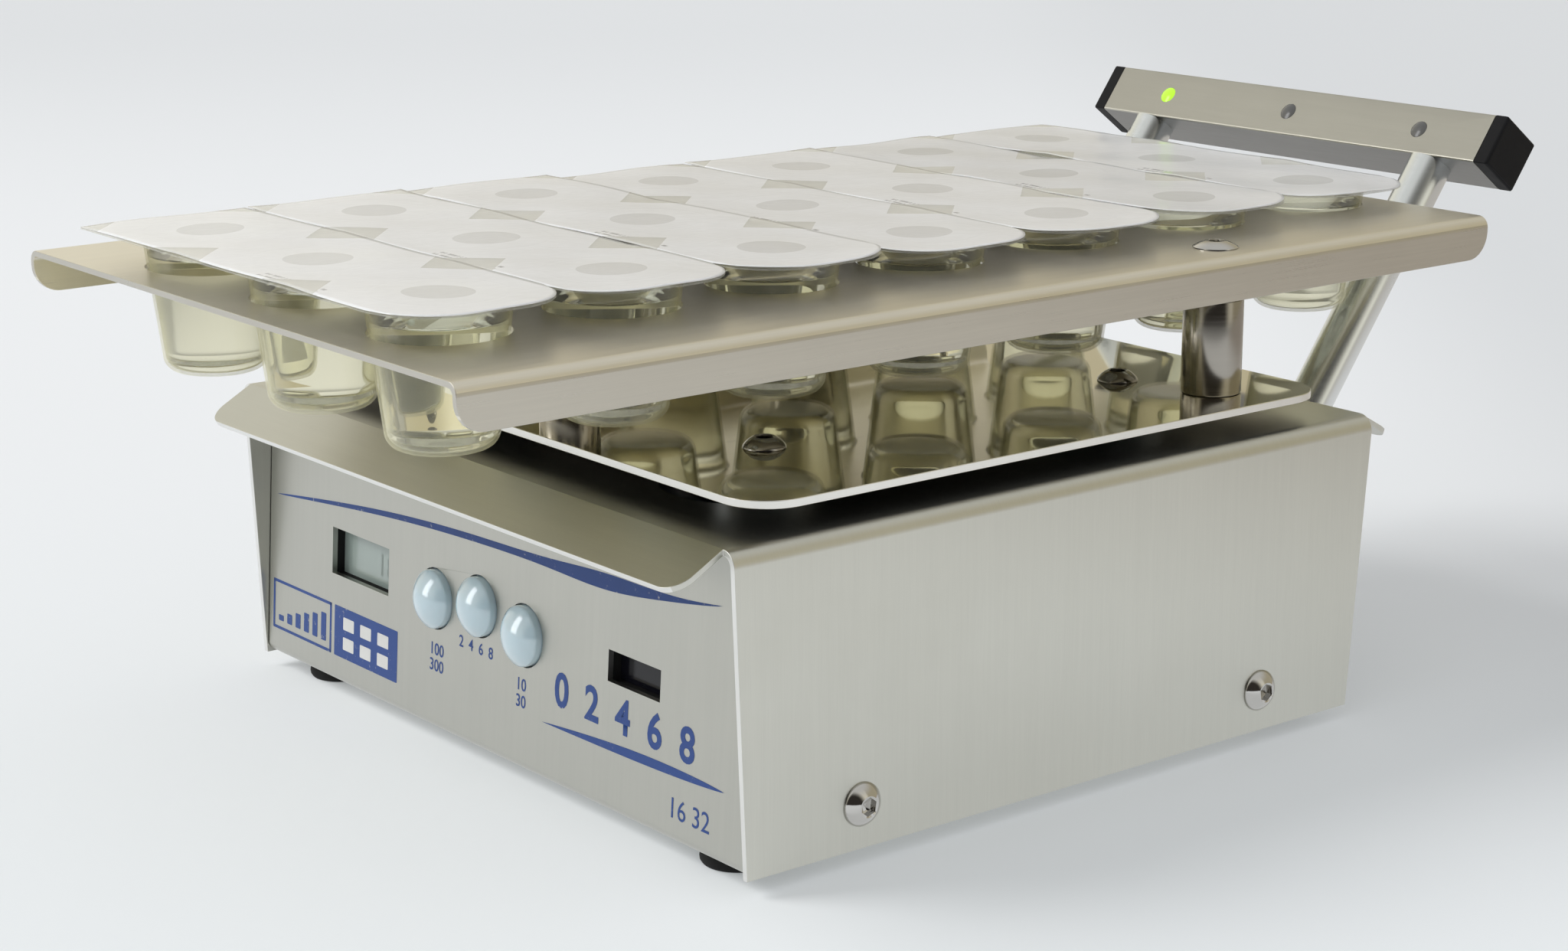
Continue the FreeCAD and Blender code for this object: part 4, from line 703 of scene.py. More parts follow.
@dataclass
class Workshop:
    """Makes pieces from arrays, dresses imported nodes, and seats both on their bodies."""

    frame: dict
    paint: Paintbox
    count: int = 0

    def from_grid(
        self,
        name: str,
        points: np.ndarray,
        wrap: tuple[bool, bool] = (True, False),
        sharp: float = 40.0,
    ) -> bpy.types.Object:
        """Turns a grid of points into a smooth mesh with merged poles and seams.

        Args:
            name: the piece's name.
            points: shape (rows, columns, 3).
            wrap: whether the last row joins the first, and the same for columns.
            sharp: angle in degrees above which an edge stays sharp.

        Returns:
            The object.
        """
        rows, columns = points.shape[:2]
        row = np.arange(rows if wrap[0] else rows - 1)[:, None]
        column = np.arange(columns if wrap[1] else columns - 1)[None, :]
        after_row = (row + 1) % rows
        after_column = (column + 1) % columns
        corners = [row * columns + column, after_row * columns + column,
                   after_row * columns + after_column, row * columns + after_column]
        faces = np.stack([corner.reshape(-1) for corner in corners], axis=1)
        mesh = bpy.data.meshes.new(name)
        mesh.from_pydata(points.reshape(-1, 3).tolist(), [], faces.tolist())
        return self.tidy(name, mesh, sharp)

    def lathe(
        self,
        name: str,
        profile: Sequence[tuple[float, float]],
        segments: int,
        frame: Matrix,
        wrap: tuple[bool, bool] = (True, False),
    ) -> bpy.types.Object:
        """A turned piece."""
        return self.from_grid(name, turned(profile, segments, frame), wrap)

    def prism(
        self, name: str, outline: np.ndarray, frame: Matrix, depth: float
    ) -> bpy.types.Object:
        """A flat outline carried straight along its frame's Z, closed at both ends.

        Args:
            name: the piece's name.
            outline: points of shape (count, 2).
            frame: places the outline's plane.
            depth: how far it is carried.

        Returns:
            The object.
        """
        count = len(outline)
        flat = np.concatenate([outline, np.zeros((count, 1))], axis=1)
        points = np.concatenate([flat, flat + np.array([0.0, 0.0, depth])])
        start = np.arange(count)
        after = (start + 1) % count
        sides = np.stack([start, after, after + count, start + count], axis=1).tolist()
        ends = [start[::-1].tolist(), (start + count).tolist()]
        mesh = bpy.data.meshes.new(name)
        mesh.from_pydata(moved(points, frame).tolist(), [], sides + ends)
        return self.tidy(name, mesh, 30.0)

    def tidy(self, name: str, mesh: bpy.types.Mesh, sharp: float) -> bpy.types.Object:
        """Merges doubles, turns the faces outwards and sets the shading.

        Args:
            name: the piece's name.
            mesh: the raw mesh.
            sharp: angle in degrees above which an edge stays sharp.

        Returns:
            The object, linked to the scene.
        """
        shape = bmesh.new()
        shape.from_mesh(mesh)
        bmesh.ops.remove_doubles(shape, verts=shape.verts, dist=1e-7)
        bmesh.ops.dissolve_degenerate(shape, edges=shape.edges, dist=1e-8)
        bmesh.ops.recalc_face_normals(shape, faces=shape.faces)
        shape.to_mesh(mesh)
        shape.free()
        return self.shade(name, mesh, sharp)

    def shade(self, name: str, mesh: bpy.types.Mesh, sharp: float) -> bpy.types.Object:
        """Smooth shading that keeps edges sharp above an angle.

        Args:
            name: the piece's name.
            mesh: the mesh.
            sharp: the angle in degrees.

        Returns:
            The object, linked to the scene.
        """
        mesh.shade_smooth()
        mesh.set_sharp_from_angle(angle=math.radians(sharp))
        return linked(name, mesh)

    def join(self, name: str, pieces: Sequence[bpy.types.Object]) -> bpy.types.Object:
        """Makes one piece of several.

        Args:
            name: the joined piece's name.
            pieces: the pieces, which are used up.

        Returns:
            The joined piece.
        """
        shape = bmesh.new()
        for piece in pieces:
            shape.from_mesh(piece.data)
        mesh = bpy.data.meshes.new(name)
        shape.to_mesh(mesh)
        shape.free()
        for piece in pieces:
            spent = piece.data
            bpy.data.objects.remove(piece)
            bpy.data.meshes.remove(spent)
        return linked(name, mesh)

    def copy_node(self, node: str, name: str, bevel: float) -> bpy.types.Object:
        """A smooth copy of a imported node, with its flat faces merged and its edges softened.

        Args:
            node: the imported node.
            name: the piece's name.
            bevel: width of the softened edges.

        Returns:
            The piece.
        """
        mesh = self.frame["nodes"][node].data.copy()
        mesh.materials.clear()
        shape = bmesh.new()
        shape.from_mesh(mesh)
        bmesh.ops.remove_doubles(shape, verts=shape.verts, dist=1e-6)
        bmesh.ops.dissolve_limit(shape, angle_limit=math.radians(0.3), verts=shape.verts,
                                 edges=shape.edges)
        shape.to_mesh(mesh)
        shape.free()
        piece = self.shade(name, mesh, 32.0)
        soft = piece.modifiers.new("softened_edges", "BEVEL")
        soft.width = bevel
        soft.segments = 2
        soft.limit_method = "ANGLE"
        soft.angle_limit = math.radians(50)
        soft.harden_normals = True
        return piece

    def seat(
        self,
        piece: bpy.types.Object,
        body: str,
        finish: str | bpy.types.Material,
        replaces: Iterable[str] = (),
        slot: str | None = None,
    ) -> bpy.types.Object:
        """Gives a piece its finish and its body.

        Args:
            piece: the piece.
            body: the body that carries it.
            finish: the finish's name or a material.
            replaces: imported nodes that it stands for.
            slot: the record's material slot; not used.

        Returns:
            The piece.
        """
        material = self.paint[finish] if isinstance(finish, str) else finish
        piece.data.materials.clear()
        piece.data.materials.append(material)
        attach(piece, body)
        if replaces:
            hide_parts(*replaces)
        self.count += 1
        LOG.info("%s rides on %s in %s", piece.name, body, material.name)
        return piece

    @staticmethod
    def once(node: str, index: int) -> list[str]:
        """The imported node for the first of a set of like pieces, and nothing for the others."""
        return [node] if index == 1 else []

    def reskin(
        self, node: str, name: str, bevel: float, body: str, finish: str, slot: str
    ) -> bpy.types.Object:
        """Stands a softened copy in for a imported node."""
        return self.seat(self.copy_node(node, name, bevel), body, finish, [node], slot)

    def dress(self, finish: str, *nodes: str) -> None:
        """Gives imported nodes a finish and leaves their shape.

        Args:
            finish: the finish's name.
            nodes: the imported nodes.
        """
        for node in nodes:
            thing = self.frame["nodes"][node]
            thing.data.materials.clear()
            thing.data.materials.append(self.paint[finish])
            LOG.info("%s keeps its shape, in %s", node, finish)


def mark_faces(piece: bpy.types.Object, chosen: np.ndarray, material: bpy.types.Material) -> None:
    """Gives some of a piece's faces one more material and leaves the others as they are.

    Args:
        piece: the piece.
        chosen: whether each face takes it.
        material: the added material.
    """
    slots = np.zeros(len(piece.data.polygons), np.int32)
    piece.data.polygons.foreach_get("material_index", slots)
    piece.data.materials.append(material)
    slots[chosen] = len(piece.data.materials) - 1
    piece.data.polygons.foreach_set("material_index", slots)


def face_table(piece: bpy.types.Object) -> tuple[np.ndarray, np.ndarray]:
    """Centres and normals of a piece's faces.

    Args:
        piece: the piece.

    Returns:
        Two arrays of shape (faces, 3).
    """
    count = len(piece.data.polygons)
    centres = np.zeros(count * 3)
    normals = np.zeros(count * 3)
    piece.data.polygons.foreach_get("center", centres)
    piece.data.polygons.foreach_get("normal", normals)
    return centres.reshape(-1, 3), normals.reshape(-1, 3)


def face_towards(piece: bpy.types.Object, axis: int, sign: int) -> None:
    """Turns a flat piece's faces towards one side.

    Args:
        piece: the flat piece.
        axis: 0, 1 or 2 for X, Y or Z.
        sign: 1 or -1 for that axis' direction.
    """
    _, normals = face_table(piece)
    if normals[:, axis].mean() * sign < 0:
        piece.data.flip_normals()


@dataclass
class ButtonScrew:
    """A domed screw head with a hexagon socket."""

    radius: float = 5.25 * MM
    height: float = 3.2 * MM
    socket: float = 4.0 * MM
    depth: float = 1.9 * MM
    shank: float = 2.9 * MM
    length: float = 7.0 * MM
    segments: int = 48

    def build(self, shop: Workshop, name: str, frame: Matrix) -> bpy.types.Object:
        """Makes the head, socket and shank as one surface.

        The angle runs one way. The other way runs from the shank's end over the crown, which is
        a cap of a sphere, to the socket, where the rings turn from circles into hexagons.

        Args:
            shop: the workshop.
            name: the piece's name.
            frame: places the head's bearing face, with Z out of the head.

        Returns:
            The screw.
        """
        angle = np.linspace(0, 2 * math.pi, self.segments, endpoint=False)[:, None]
        side = self.height * 0.12
        tall = self.height - side
        sphere = (self.radius**2 + tall**2) / (2 * tall)
        rim = self.socket / 2 / math.cos(math.pi / 6) + 0.25 * MM
        crown = np.linspace(self.radius * 0.995, rim, 9)
        levels = self.height - sphere + np.sqrt(sphere**2 - crown**2)
        circles = np.concatenate([[0.0, self.shank, self.shank, self.radius * 0.97, self.radius],
                                  crown]) * np.ones_like(angle)
        hexagon = (self.socket / 2) / np.cos(angle % (math.pi / 3) - math.pi / 6)
        hollow = np.concatenate([hexagon, hexagon * 0.98, hexagon * 0.98, hexagon * 0.0], axis=1)
        lip = float(levels[-1])
        heights = np.concatenate([[-self.length, -self.length, 0.0, 0.0, side * 0.4], levels,
                                  [lip - 0.12 * MM, lip - 0.3 * MM, lip - self.depth,
                                   lip - self.depth - 0.5 * MM]])
        radii = np.concatenate([circles, hollow], axis=1)
        local = np.stack([radii * np.cos(angle), radii * np.sin(angle),
                          np.broadcast_to(heights, radii.shape)], axis=2)
        return shop.from_grid(name, moved(local, frame), sharp=38.0)


@dataclass
class Housing:
    """Top cover, chassis, feet and the screws that hold the cover."""

    shop: Workshop
    edge_soft: float = 0.18 * MM
    narrow: float = 3.6e-4
    front_lip: float = 17 * MM
    rear_lip: float = 22 * MM
    screw_radius: float = 5.25 * MM
    foot_radius: float = 9.0 * MM

    def build(self) -> None:
        """Makes and dresses the housing."""
        self.sheet("top_cover", "cover_sheet", "cover_steel")
        self.sheet("chassis", "chassis_sheet", "panel_steel")
        self.feet()
        self.screws()
        self.shop.dress("zinc_steel", "clinch_nuts", "foot_screws")

    def sheet(self, node: str, name: str, finish: str) -> None:
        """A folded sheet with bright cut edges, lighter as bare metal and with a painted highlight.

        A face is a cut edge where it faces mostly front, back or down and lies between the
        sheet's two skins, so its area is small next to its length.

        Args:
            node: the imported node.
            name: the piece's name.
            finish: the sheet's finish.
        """
        piece = self.shop.reskin(node, name, self.edge_soft, "base", finish, "brushed_stainless")
        centres, normals = face_table(piece)
        low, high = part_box(node)
        areas = np.zeros(len(piece.data.polygons))
        piece.data.polygons.foreach_get("area", areas)
        sideways = np.abs(normals[:, 1]) > 0.7
        downwards = (normals[:, 2] < -0.7) & (centres[:, 2] < low.z + 0.5 * MM)
        narrow = areas < self.narrow
        ends = (centres[:, 1] < low.y + self.front_lip) | (centres[:, 1] > high.y - self.rear_lip)
        chosen = narrow & (sideways & ends | downwards) & (node == "top_cover")
        # The cover's cut edges are lighter: bare metal, with a painted highlight.
        mark_faces(piece, chosen, self.shop.paint["cut_edge"])

    def feet(self) -> None:
        """Four round rubber feet with a softened rim and a recess for the screw."""
        low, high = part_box("rubber_feet")
        top = high.z
        rim = self.foot_radius
        profile = [(2.4 * MM, 1.7 * MM), (4.9 * MM, 1.7 * MM), (5.0 * MM, 0.25 * MM),
                   (5.3 * MM, 0.0), (rim - 1.3 * MM, 0.0), (rim - 0.5 * MM, 0.2 * MM),
                   (rim - 0.1 * MM, 0.8 * MM), (rim, 1.4 * MM), (rim - 0.3 * MM, top - 0.6 * MM),
                   (rim - 0.6 * MM, top), (2.4 * MM, top)]
        spots = [(x, y) for x in (low.x + rim, high.x - rim) for y in (low.y + rim, high.y - rim)]
        parts = [self.shop.lathe("foot", profile, 48, upright(x, y, 0.0), (True, True))
                 for x, y in spots]
        feet = self.shop.join("round_feet", parts)
        self.shop.seat(feet, "base", "black_rubber", ["rubber_feet"], "black_rubber")

    def screws(self) -> None:
        """The cover's four side screws, each with its own small turn."""
        low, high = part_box("top_cover")
        first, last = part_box("cover_screws")
        height = first.z + self.screw_radius
        turn = 0
        for side, x in ((-1, low.x), (1, high.x)):
            for y in (first.y + self.screw_radius, last.y - self.screw_radius):
                turn += 1
                outwards = Matrix.Rotation(math.radians(90 * side), 4, "Y")
                spin = Matrix.Rotation(math.radians(17 * turn), 4, "Z")
                place = upright(x, y, height) @ outwards @ spin
                screw = ButtonScrew(length=9.0 * MM).build(
                    self.shop, "cover_screw_%d" % turn, place)
                self.shop.seat(screw, "base", "screw_steel",
                               self.shop.once("cover_screws", turn), "polished_stainless")


@dataclass
class PanelPlane:
    """The outer face of the leaning front panel."""

    shop: Workshop
    lean: float = math.radians(3.7)
    foot_y: float = 0.0

    def __post_init__(self) -> None:
        """Finds where the face, carried down, meets the bench: no point lies in front of it."""
        mesh = self.shop.frame["nodes"]["chassis"].data
        points = np.zeros(len(mesh.vertices) * 3)
        mesh.vertices.foreach_get("co", points)
        points = points.reshape(-1, 3)
        self.foot_y = float((points[:, 1] - points[:, 2] * math.tan(self.lean)).min())

    def face_y(self, height: float | np.ndarray) -> float | np.ndarray:
        """Y of the face at a height."""
        return self.foot_y + height * math.tan(self.lean)

    def place(self, x: float, height: float, out: float = 0.0) -> Matrix:
        """A placement on the panel, with Z out of it and Y up it.

        Args:
            x: place along the front.
            height: height above the bench of the point on the face.
            out: distance in front of the face.

        Returns:
            The placement.
        """
        face = Vector((x, self.face_y(height), height))
        turn = Matrix.Rotation(math.radians(90) - self.lean, 4, "X")
        outward = turn.to_3x3() @ Vector((0, 0, 1))
        return Matrix.Translation(face + outward * out) @ turn


@dataclass
class FrontPanel:
    """Windows, push buttons and the printed stripes, marks and numbers."""

    shop: Workshop
    plane: PanelPlane
    button_radius: float = 7.5 * MM
    button_x: float = -2.6 * MM
    button_pitch: float = 20.0 * MM
    button_height: float = 38.4 * MM
    button_raise: float = 2.6 * MM
    dome: float = 3.4 * MM
    proud: float = 1.6 * MM
    ink: float = 0.04 * MM

    def build(self) -> None:
        """Makes and dresses everything on the panel."""
        self.windows()
        self.buttons()
        self.stripes()
        self.blocks()
        self.numbers()
        self.shop.dress("black_rubber", "window_gaskets")
        self.shop.dress("black_plastic", "key_switches", "display_module")
        self.shop.dress("board_green", "control_board")
        self.shop.dress("zinc_steel", "board_spacers")

    def windows(self) -> None:
        """The display's pale face with faint digits, and the small dark window."""
        for name, finish, x, height, width, tall in (
            ("display_glass", "display_face", -59.1, 39.95, 28.4, 12.6),
            ("sensor_glass", "dark_window", 62.6, 39.8, 20.7, 7.8),
        ):
            outline = box_outline(width * MM, tall * MM)
            frame = self.plane.place(x * MM, height * MM, -4.28 * MM)
            glass = self.shop.prism(name, outline, frame, 0.5 * MM)
            self.shop.seat(glass, "base", finish)
        self.shop.dress("dark_window", "sensor_module")
        digits = self.text("display_digits", "188", 8.5 * MM, -56.5, 36.6, -3.75 * MM)
        self.shop.seat(digits, "base", "display_digit")

    def buttons(self) -> None:
        """Three caps with a rounded shoulder and a dome that is part of a sphere."""
        edge = self.button_radius
        sphere = (edge**2 + self.dome**2) / (2 * self.dome)
        reach = np.linspace(0.0, math.asin(edge * 0.94 / sphere), 12)[::-1]
        crown = [(sphere * math.sin(a), self.proud + self.dome - sphere * (1 - math.cos(a)))
                 for a in reach]
        crown[-1] = (0.0, crown[-1][1])
        rim = edge + 1.6 * MM
        back = -3.2 * MM
        profile = [(0.0, back - 0.8 * MM), (2.0 * MM, back - 0.8 * MM), (2.0 * MM, back),
                   (rim, back), (rim, -1.8 * MM), (edge, -1.8 * MM), (edge, self.proud - 0.2 * MM),
                   (edge * 0.985, self.proud + 0.15 * MM)] + crown
        for index, body in enumerate(("button_left", "button_middle", "button_right")):
            x = self.button_x + self.button_pitch * (index - 1)
            height = self.button_height + (self.button_raise if index == 1 else 0.0)
            cap = self.shop.lathe("button_cap_%d" % (index + 1), profile, 64,
                                  self.plane.place(x, height))
            self.shop.seat(cap, body, "button_blue", ["push_button_%d" % (index + 1)],
                           "button_blue")

    def ribbon(self, name: str, along: np.ndarray, middle: np.ndarray, half: np.ndarray) -> None:
        """A printed stripe of varying width on the panel.

        Each station along the panel has a middle height and a half width, and the surface runs
        from one edge to the other.

        Args:
            name: the piece's name.
            along: x of the stations.
            middle: height of the stripe's middle at each.
            half: half of its width at each.
        """
        height = np.stack([middle - half, middle + half], axis=1)
        y = self.plane.face_y(height) - self.ink
        x = np.repeat(along[:, None], 2, axis=1)
        piece = self.shop.from_grid(name, np.stack([x, y, height], axis=2), (False, False))
        face_towards(piece, 1, -1)
        self.shop.seat(piece, "base", "blue_ink")

    def stripes(self) -> None:
        """The long upper stripe and the short lower one.

        The upper stripe's middle is the smooth curve through five stations, a polynomial of the
        fourth degree. Its width is a thin even part plus a swelling near the right end.
        """
        stations = np.array([-102.7, -49.4, 20.5, 52.0, 94.5]) * MM
        heights = np.array([49.2, 54.8, 58.3, 59.3, 63.6]) * MM
        curve = np.polyfit(stations, heights, 4)
        x = np.linspace(stations[0], stations[-1], 120)
        share = np.linspace(0, 1, 120)
        taper = np.sin(math.pi * share) ** 0.55
        swell = np.exp(-(((share - 0.79) / 0.115) ** 2))
        half = (0.85 + 1.65 * swell) * taper * MM
        self.ribbon("upper_stripe", x, np.polyval(curve, x), half)
        x = np.linspace(26.0, 98.0, 80) * MM
        share = np.linspace(0, 1, 80)
        middle = (19.2 + 2.5 * share + 0.45 * np.sin(math.pi * share)) * MM
        taper = np.sin(math.pi * share**1.3) ** 0.7
        self.ribbon("lower_stripe", x, middle, 1.15 * taper * MM)

    def plate(self, name: str, left: float, right: float, low: float, high: float, finish: str,
              out: float = 1.0) -> None:
        """A printed rectangle on the panel.

        Args:
            name: the piece's name.
            left: its left side, in millimetres.
            right: its right side.
            low: height of its lower side.
            high: height of its upper side.
            finish: its ink.
            out: layers of ink in front of the panel.
        """
        outline = box_outline((right - left) * MM, (high - low) * MM, 3)
        frame = self.plane.place((left + right) / 2 * MM, (low + high) / 2 * MM, 0.0)
        piece = self.shop.prism(name, outline, frame, self.ink * out)
        self.shop.seat(piece, "base", finish)

    def blocks(self) -> None:
        """A plain printed block: a framed field of level bars beside a solid field with dots."""
        self.plate("block_solid", -71.5, -40.0, 11.9, 25.6, "blue_ink")
        for index in range(3):
            for row in range(2):
                left = -67.0 + 8.6 * index
                low = 14.3 + 5.4 * row
                self.plate("block_field_%d" % (index * 2 + row), left, left + 5.4, low, low + 3.4,
                           "pale_print", 1.6)
        for name, left, right, low, high in (
            ("left", -104.0, -103.1, 11.9, 25.6), ("right", -74.0, -73.1, 11.9, 25.6),
            ("bottom", -104.0, -73.1, 11.9, 12.7), ("top", -104.0, -73.1, 24.8, 25.6),
        ):
            self.plate("block_frame_" + name, left, right, low, high, "blue_ink", 1.0)
        for index in range(6):
            left = -101.0 + 4.5 * index
            self.plate("block_bar_%d" % index, left, left + 2.6, 14.4, 16.0 + 1.2 * index,
                       "blue_ink")

    def text(self, name: str, words: str, size: float, x: float, low: float, out: float,
             bold: float = 0.0) -> bpy.types.Object:
        """Plain figures as a flat mesh on the panel.

        Args:
            name: the piece's name.
            words: the figures.
            size: their size in metres.
            x: left side, in millimetres.
            low: height of their lower side, in millimetres.
            out: distance in front of the panel.
            bold: how far the strokes are widened, as a share of the size.

        Returns:
            The piece.
        """
        curve = bpy.data.curves.new(name, "FONT")
        curve.body = words
        curve.size = size
        curve.resolution_u = 4
        curve.offset = size * bold
        carrier = linked(name + "_text", curve)
        bpy.context.view_layer.update()
        mesh = bpy.data.meshes.new_from_object(carrier)
        bpy.data.objects.remove(carrier)
        mesh.transform(self.plane.place(x * MM, low * MM, out))
        mesh.name = name
        return linked(name, mesh)

    def numbers(self) -> None:
        """Plain figures under the buttons and a numbered scale beside them."""
        for name, words, size, x, low, bold in (
            ("figures_left_upper", "100", 4.4, -24.6, 24.0, 0.012),
            ("figures_left_lower", "300", 4.4, -24.6, 19.8, 0.012),
            ("figures_middle", "2  4  6  8", 4.2, -11.2, 29.0, 0.012),
            ("figures_right_upper", "10", 4.4, 14.6, 24.6, 0.012),
            ("figures_right_lower", "30", 4.4, 14.6, 20.4, 0.012),
            ("scale_figures", "0  2  4  6  8", 11.8, 31.0, 24.9, 0.024),
            ("figures_corner", "16 32", 7.0, 77.5, 10.6, 0.0),
        ):
            piece = self.text(name, words, size * MM, x, low, self.ink, bold)
            self.shop.seat(piece, "base", "blue_ink")


@dataclass
class Platform:
    """Drive plate, hubs, posts, cup tray and their screws."""

    shop: Workshop
    head_radius: float = 5.25 * MM
    post_radius: float = 7.6 * MM
    neck_radius: float = 6.0 * MM
    neck_length: float = 11.0 * MM
    tray_end: float = 9 * MM
    flange_edge: float = 6 * MM

    def build(self) -> None:
        """Makes and dresses the platform."""
        plate = self.shop.reskin("drive_plate", "polished_plate", 0.2 * MM, "platform",
                                 "mirror_steel", "polished_stainless")
        self.mark_rim(plate, "drive_plate")
        # The plate's downward faces are painted near black: painted shade for the dark gap between
        # plate and cover.
        _, normals = face_table(plate)
        mark_faces(plate, normals[:, 2] < -SQUARE_ON, self.shop.paint["plate_underside_painted_shade"])
        tray = self.shop.reskin("cup_tray", "cup_carrier", 0.15 * MM, "platform", "tray_steel",
                                "brushed_stainless")
        centres, normals = face_table(tray)
        inner = (np.abs(normals[:, 0]) > SQUARE_ON) & (normals[:, 0] * centres[:, 0] < 0)
        outer = (np.abs(normals[:, 0]) > 0.95) & (normals[:, 0] * centres[:, 0] > 0)
        # The underside and inner flange faces take a lighter, part-diffuse copy of the tray steel:
        # painted light.
        under = normals[:, 2] < -SQUARE_ON
        mark_faces(tray, under | inner, self.shop.paint["tray_underside_painted_light"])
        # The flanges' outer faces take a darker copy of the tray steel: painted shade.
        mark_faces(tray, outer, self.shop.paint["flange_painted_shade"])
        self.mark_tray(tray)
        self.posts()
        self.screws()
        self.shop.dress("leg_steel", "bearing_hubs")
        self.shop.dress("ground_steel", "hub_bearings")

    def mark_rim(self, piece: bpy.types.Object, node: str) -> None:
        """Brightens the plate's cut rim.

        Args:
            piece: the plate.
            node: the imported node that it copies.
        """
        centres, normals = face_table(piece)
        low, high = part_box(node)
        middle = (low + high) / 2
        reach = np.maximum(np.abs(centres[:, 0] - middle.x) / (high.x - middle.x),
                           np.abs(centres[:, 1] - middle.y) / (high.y - middle.y))
        chosen = (np.abs(normals[:, 2]) < 0.3) & (reach > 0.9)
        mark_faces(piece, chosen, self.shop.paint["plate_rim"])

    def mark_tray(self, piece: bpy.types.Object) -> None:
        """Gives the tray's cut edges, at both ends and along its flanges, a darker finish.

        Args:
            piece: the tray.
        """
        centres, normals = face_table(piece)
        low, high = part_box("cup_tray")
        beyond = np.abs(centres[:, 1] - (low.y + high.y) / 2) > (high.y - low.y) / 2 - self.tray_end
        ends = (np.abs(normals[:, 1]) > SQUARE_ON) & beyond
        under = (normals[:, 2] < -0.5) & (centres[:, 2] < low.z + self.flange_edge)
        mark_faces(piece, ends | under, self.shop.paint["darker_cut_edge"])

    def post_spots(self) -> list[tuple[float, float]]:
        """X and Y of the front post and the two rear ones, from the posts' box."""
        low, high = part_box("tray_posts")
        reach = self.post_radius
        rear = high.y - reach
        return [(0.0, low.y + reach), (low.x + reach, rear), (high.x - reach, rear)]

    def posts(self) -> None:
        """Polished posts, turned down at the top so as to clear the cups."""
        low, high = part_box("tray_posts")
        tall = high.z - low.z
        neck = tall - self.neck_length
        soft = 0.5 * MM
        wide, thin = self.post_radius, self.neck_radius
        profile = [(0.0, 0.0), (wide - soft, 0.0), (wide - soft * 0.3, soft * 0.3), (wide, soft),
                   (wide, neck - soft), (wide - soft * 0.3, neck - soft * 0.3),
                   (wide - soft, neck), (thin + soft * 0.4, neck), (thin, neck + soft * 0.4),
                   (thin, tall), (0.0, tall)]
        for index, (x, y) in enumerate(self.post_spots(), start=1):
            post = self.shop.lathe("tray_post_%d" % index, profile, 64, upright(x, y, low.z))
            self.shop.seat(post, "platform", "turned_steel", self.shop.once("tray_posts", index),
                           "polished_stainless")

    def screws(self) -> None:
        """Screws of the hubs, of the posts on the tray, and of the posts from below."""
        low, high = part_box("plate_screws")
        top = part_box("drive_plate")[1].z
        reach = (high - low) / 2 - Vector((self.head_radius, self.head_radius, 0))
        middle_y = (low.y + high.y) / 2
        spots = [(0.0, 0.0)] + [(x, y) for x in (-1, 1) for y in (-1, 1)]
        for index, (across, along) in enumerate(spots, start=1):
            spin = Matrix.Rotation(math.radians(23 * index), 4, "Z")
            place = upright(reach.x * across, middle_y + reach.y * along, top)
            # The plate screws take a darker copy of the screw steel: painted shade.
            screw = ButtonScrew().build(self.shop, "plate_screw_%d" % index, place @ spin)
            self.shop.seat(screw, "platform", "plate_screw_painted_shade", self.shop.once("plate_screws", index),
                           "polished_stainless")
        tray_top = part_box("cup_tray")[1].z
        plate_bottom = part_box("drive_plate")[0].z
        under = Matrix.Rotation(math.pi, 4, "X")
        sunk = [(0.0, -12 * MM), (2.9 * MM, -12 * MM), (2.9 * MM, -1.8 * MM), (4.7 * MM, -0.1 * MM),
                (4.7 * MM, 0.0), (2.0 * MM, 0.0), (1.9 * MM, -1.2 * MM), (0.0, -1.2 * MM)]
        for index, (x, y) in enumerate(self.post_spots(), start=1):
            low_head = ButtonScrew(5.8 * MM, 2.0 * MM, 3.6 * MM, 1.2 * MM, length=10 * MM)
            screw = low_head.build(self.shop, "tray_screw_%d" % index, upright(x, y, tray_top))
            self.shop.seat(screw, "platform", "screw_steel", self.shop.once("post_screws", index),
                           "polished_stainless")
            lower = self.shop.lathe("sunk_screw_%d" % index, sunk, 32,
                                    upright(x, y, plate_bottom) @ under)
            self.shop.seat(lower, "platform", "screw_steel", [], "polished_stainless")


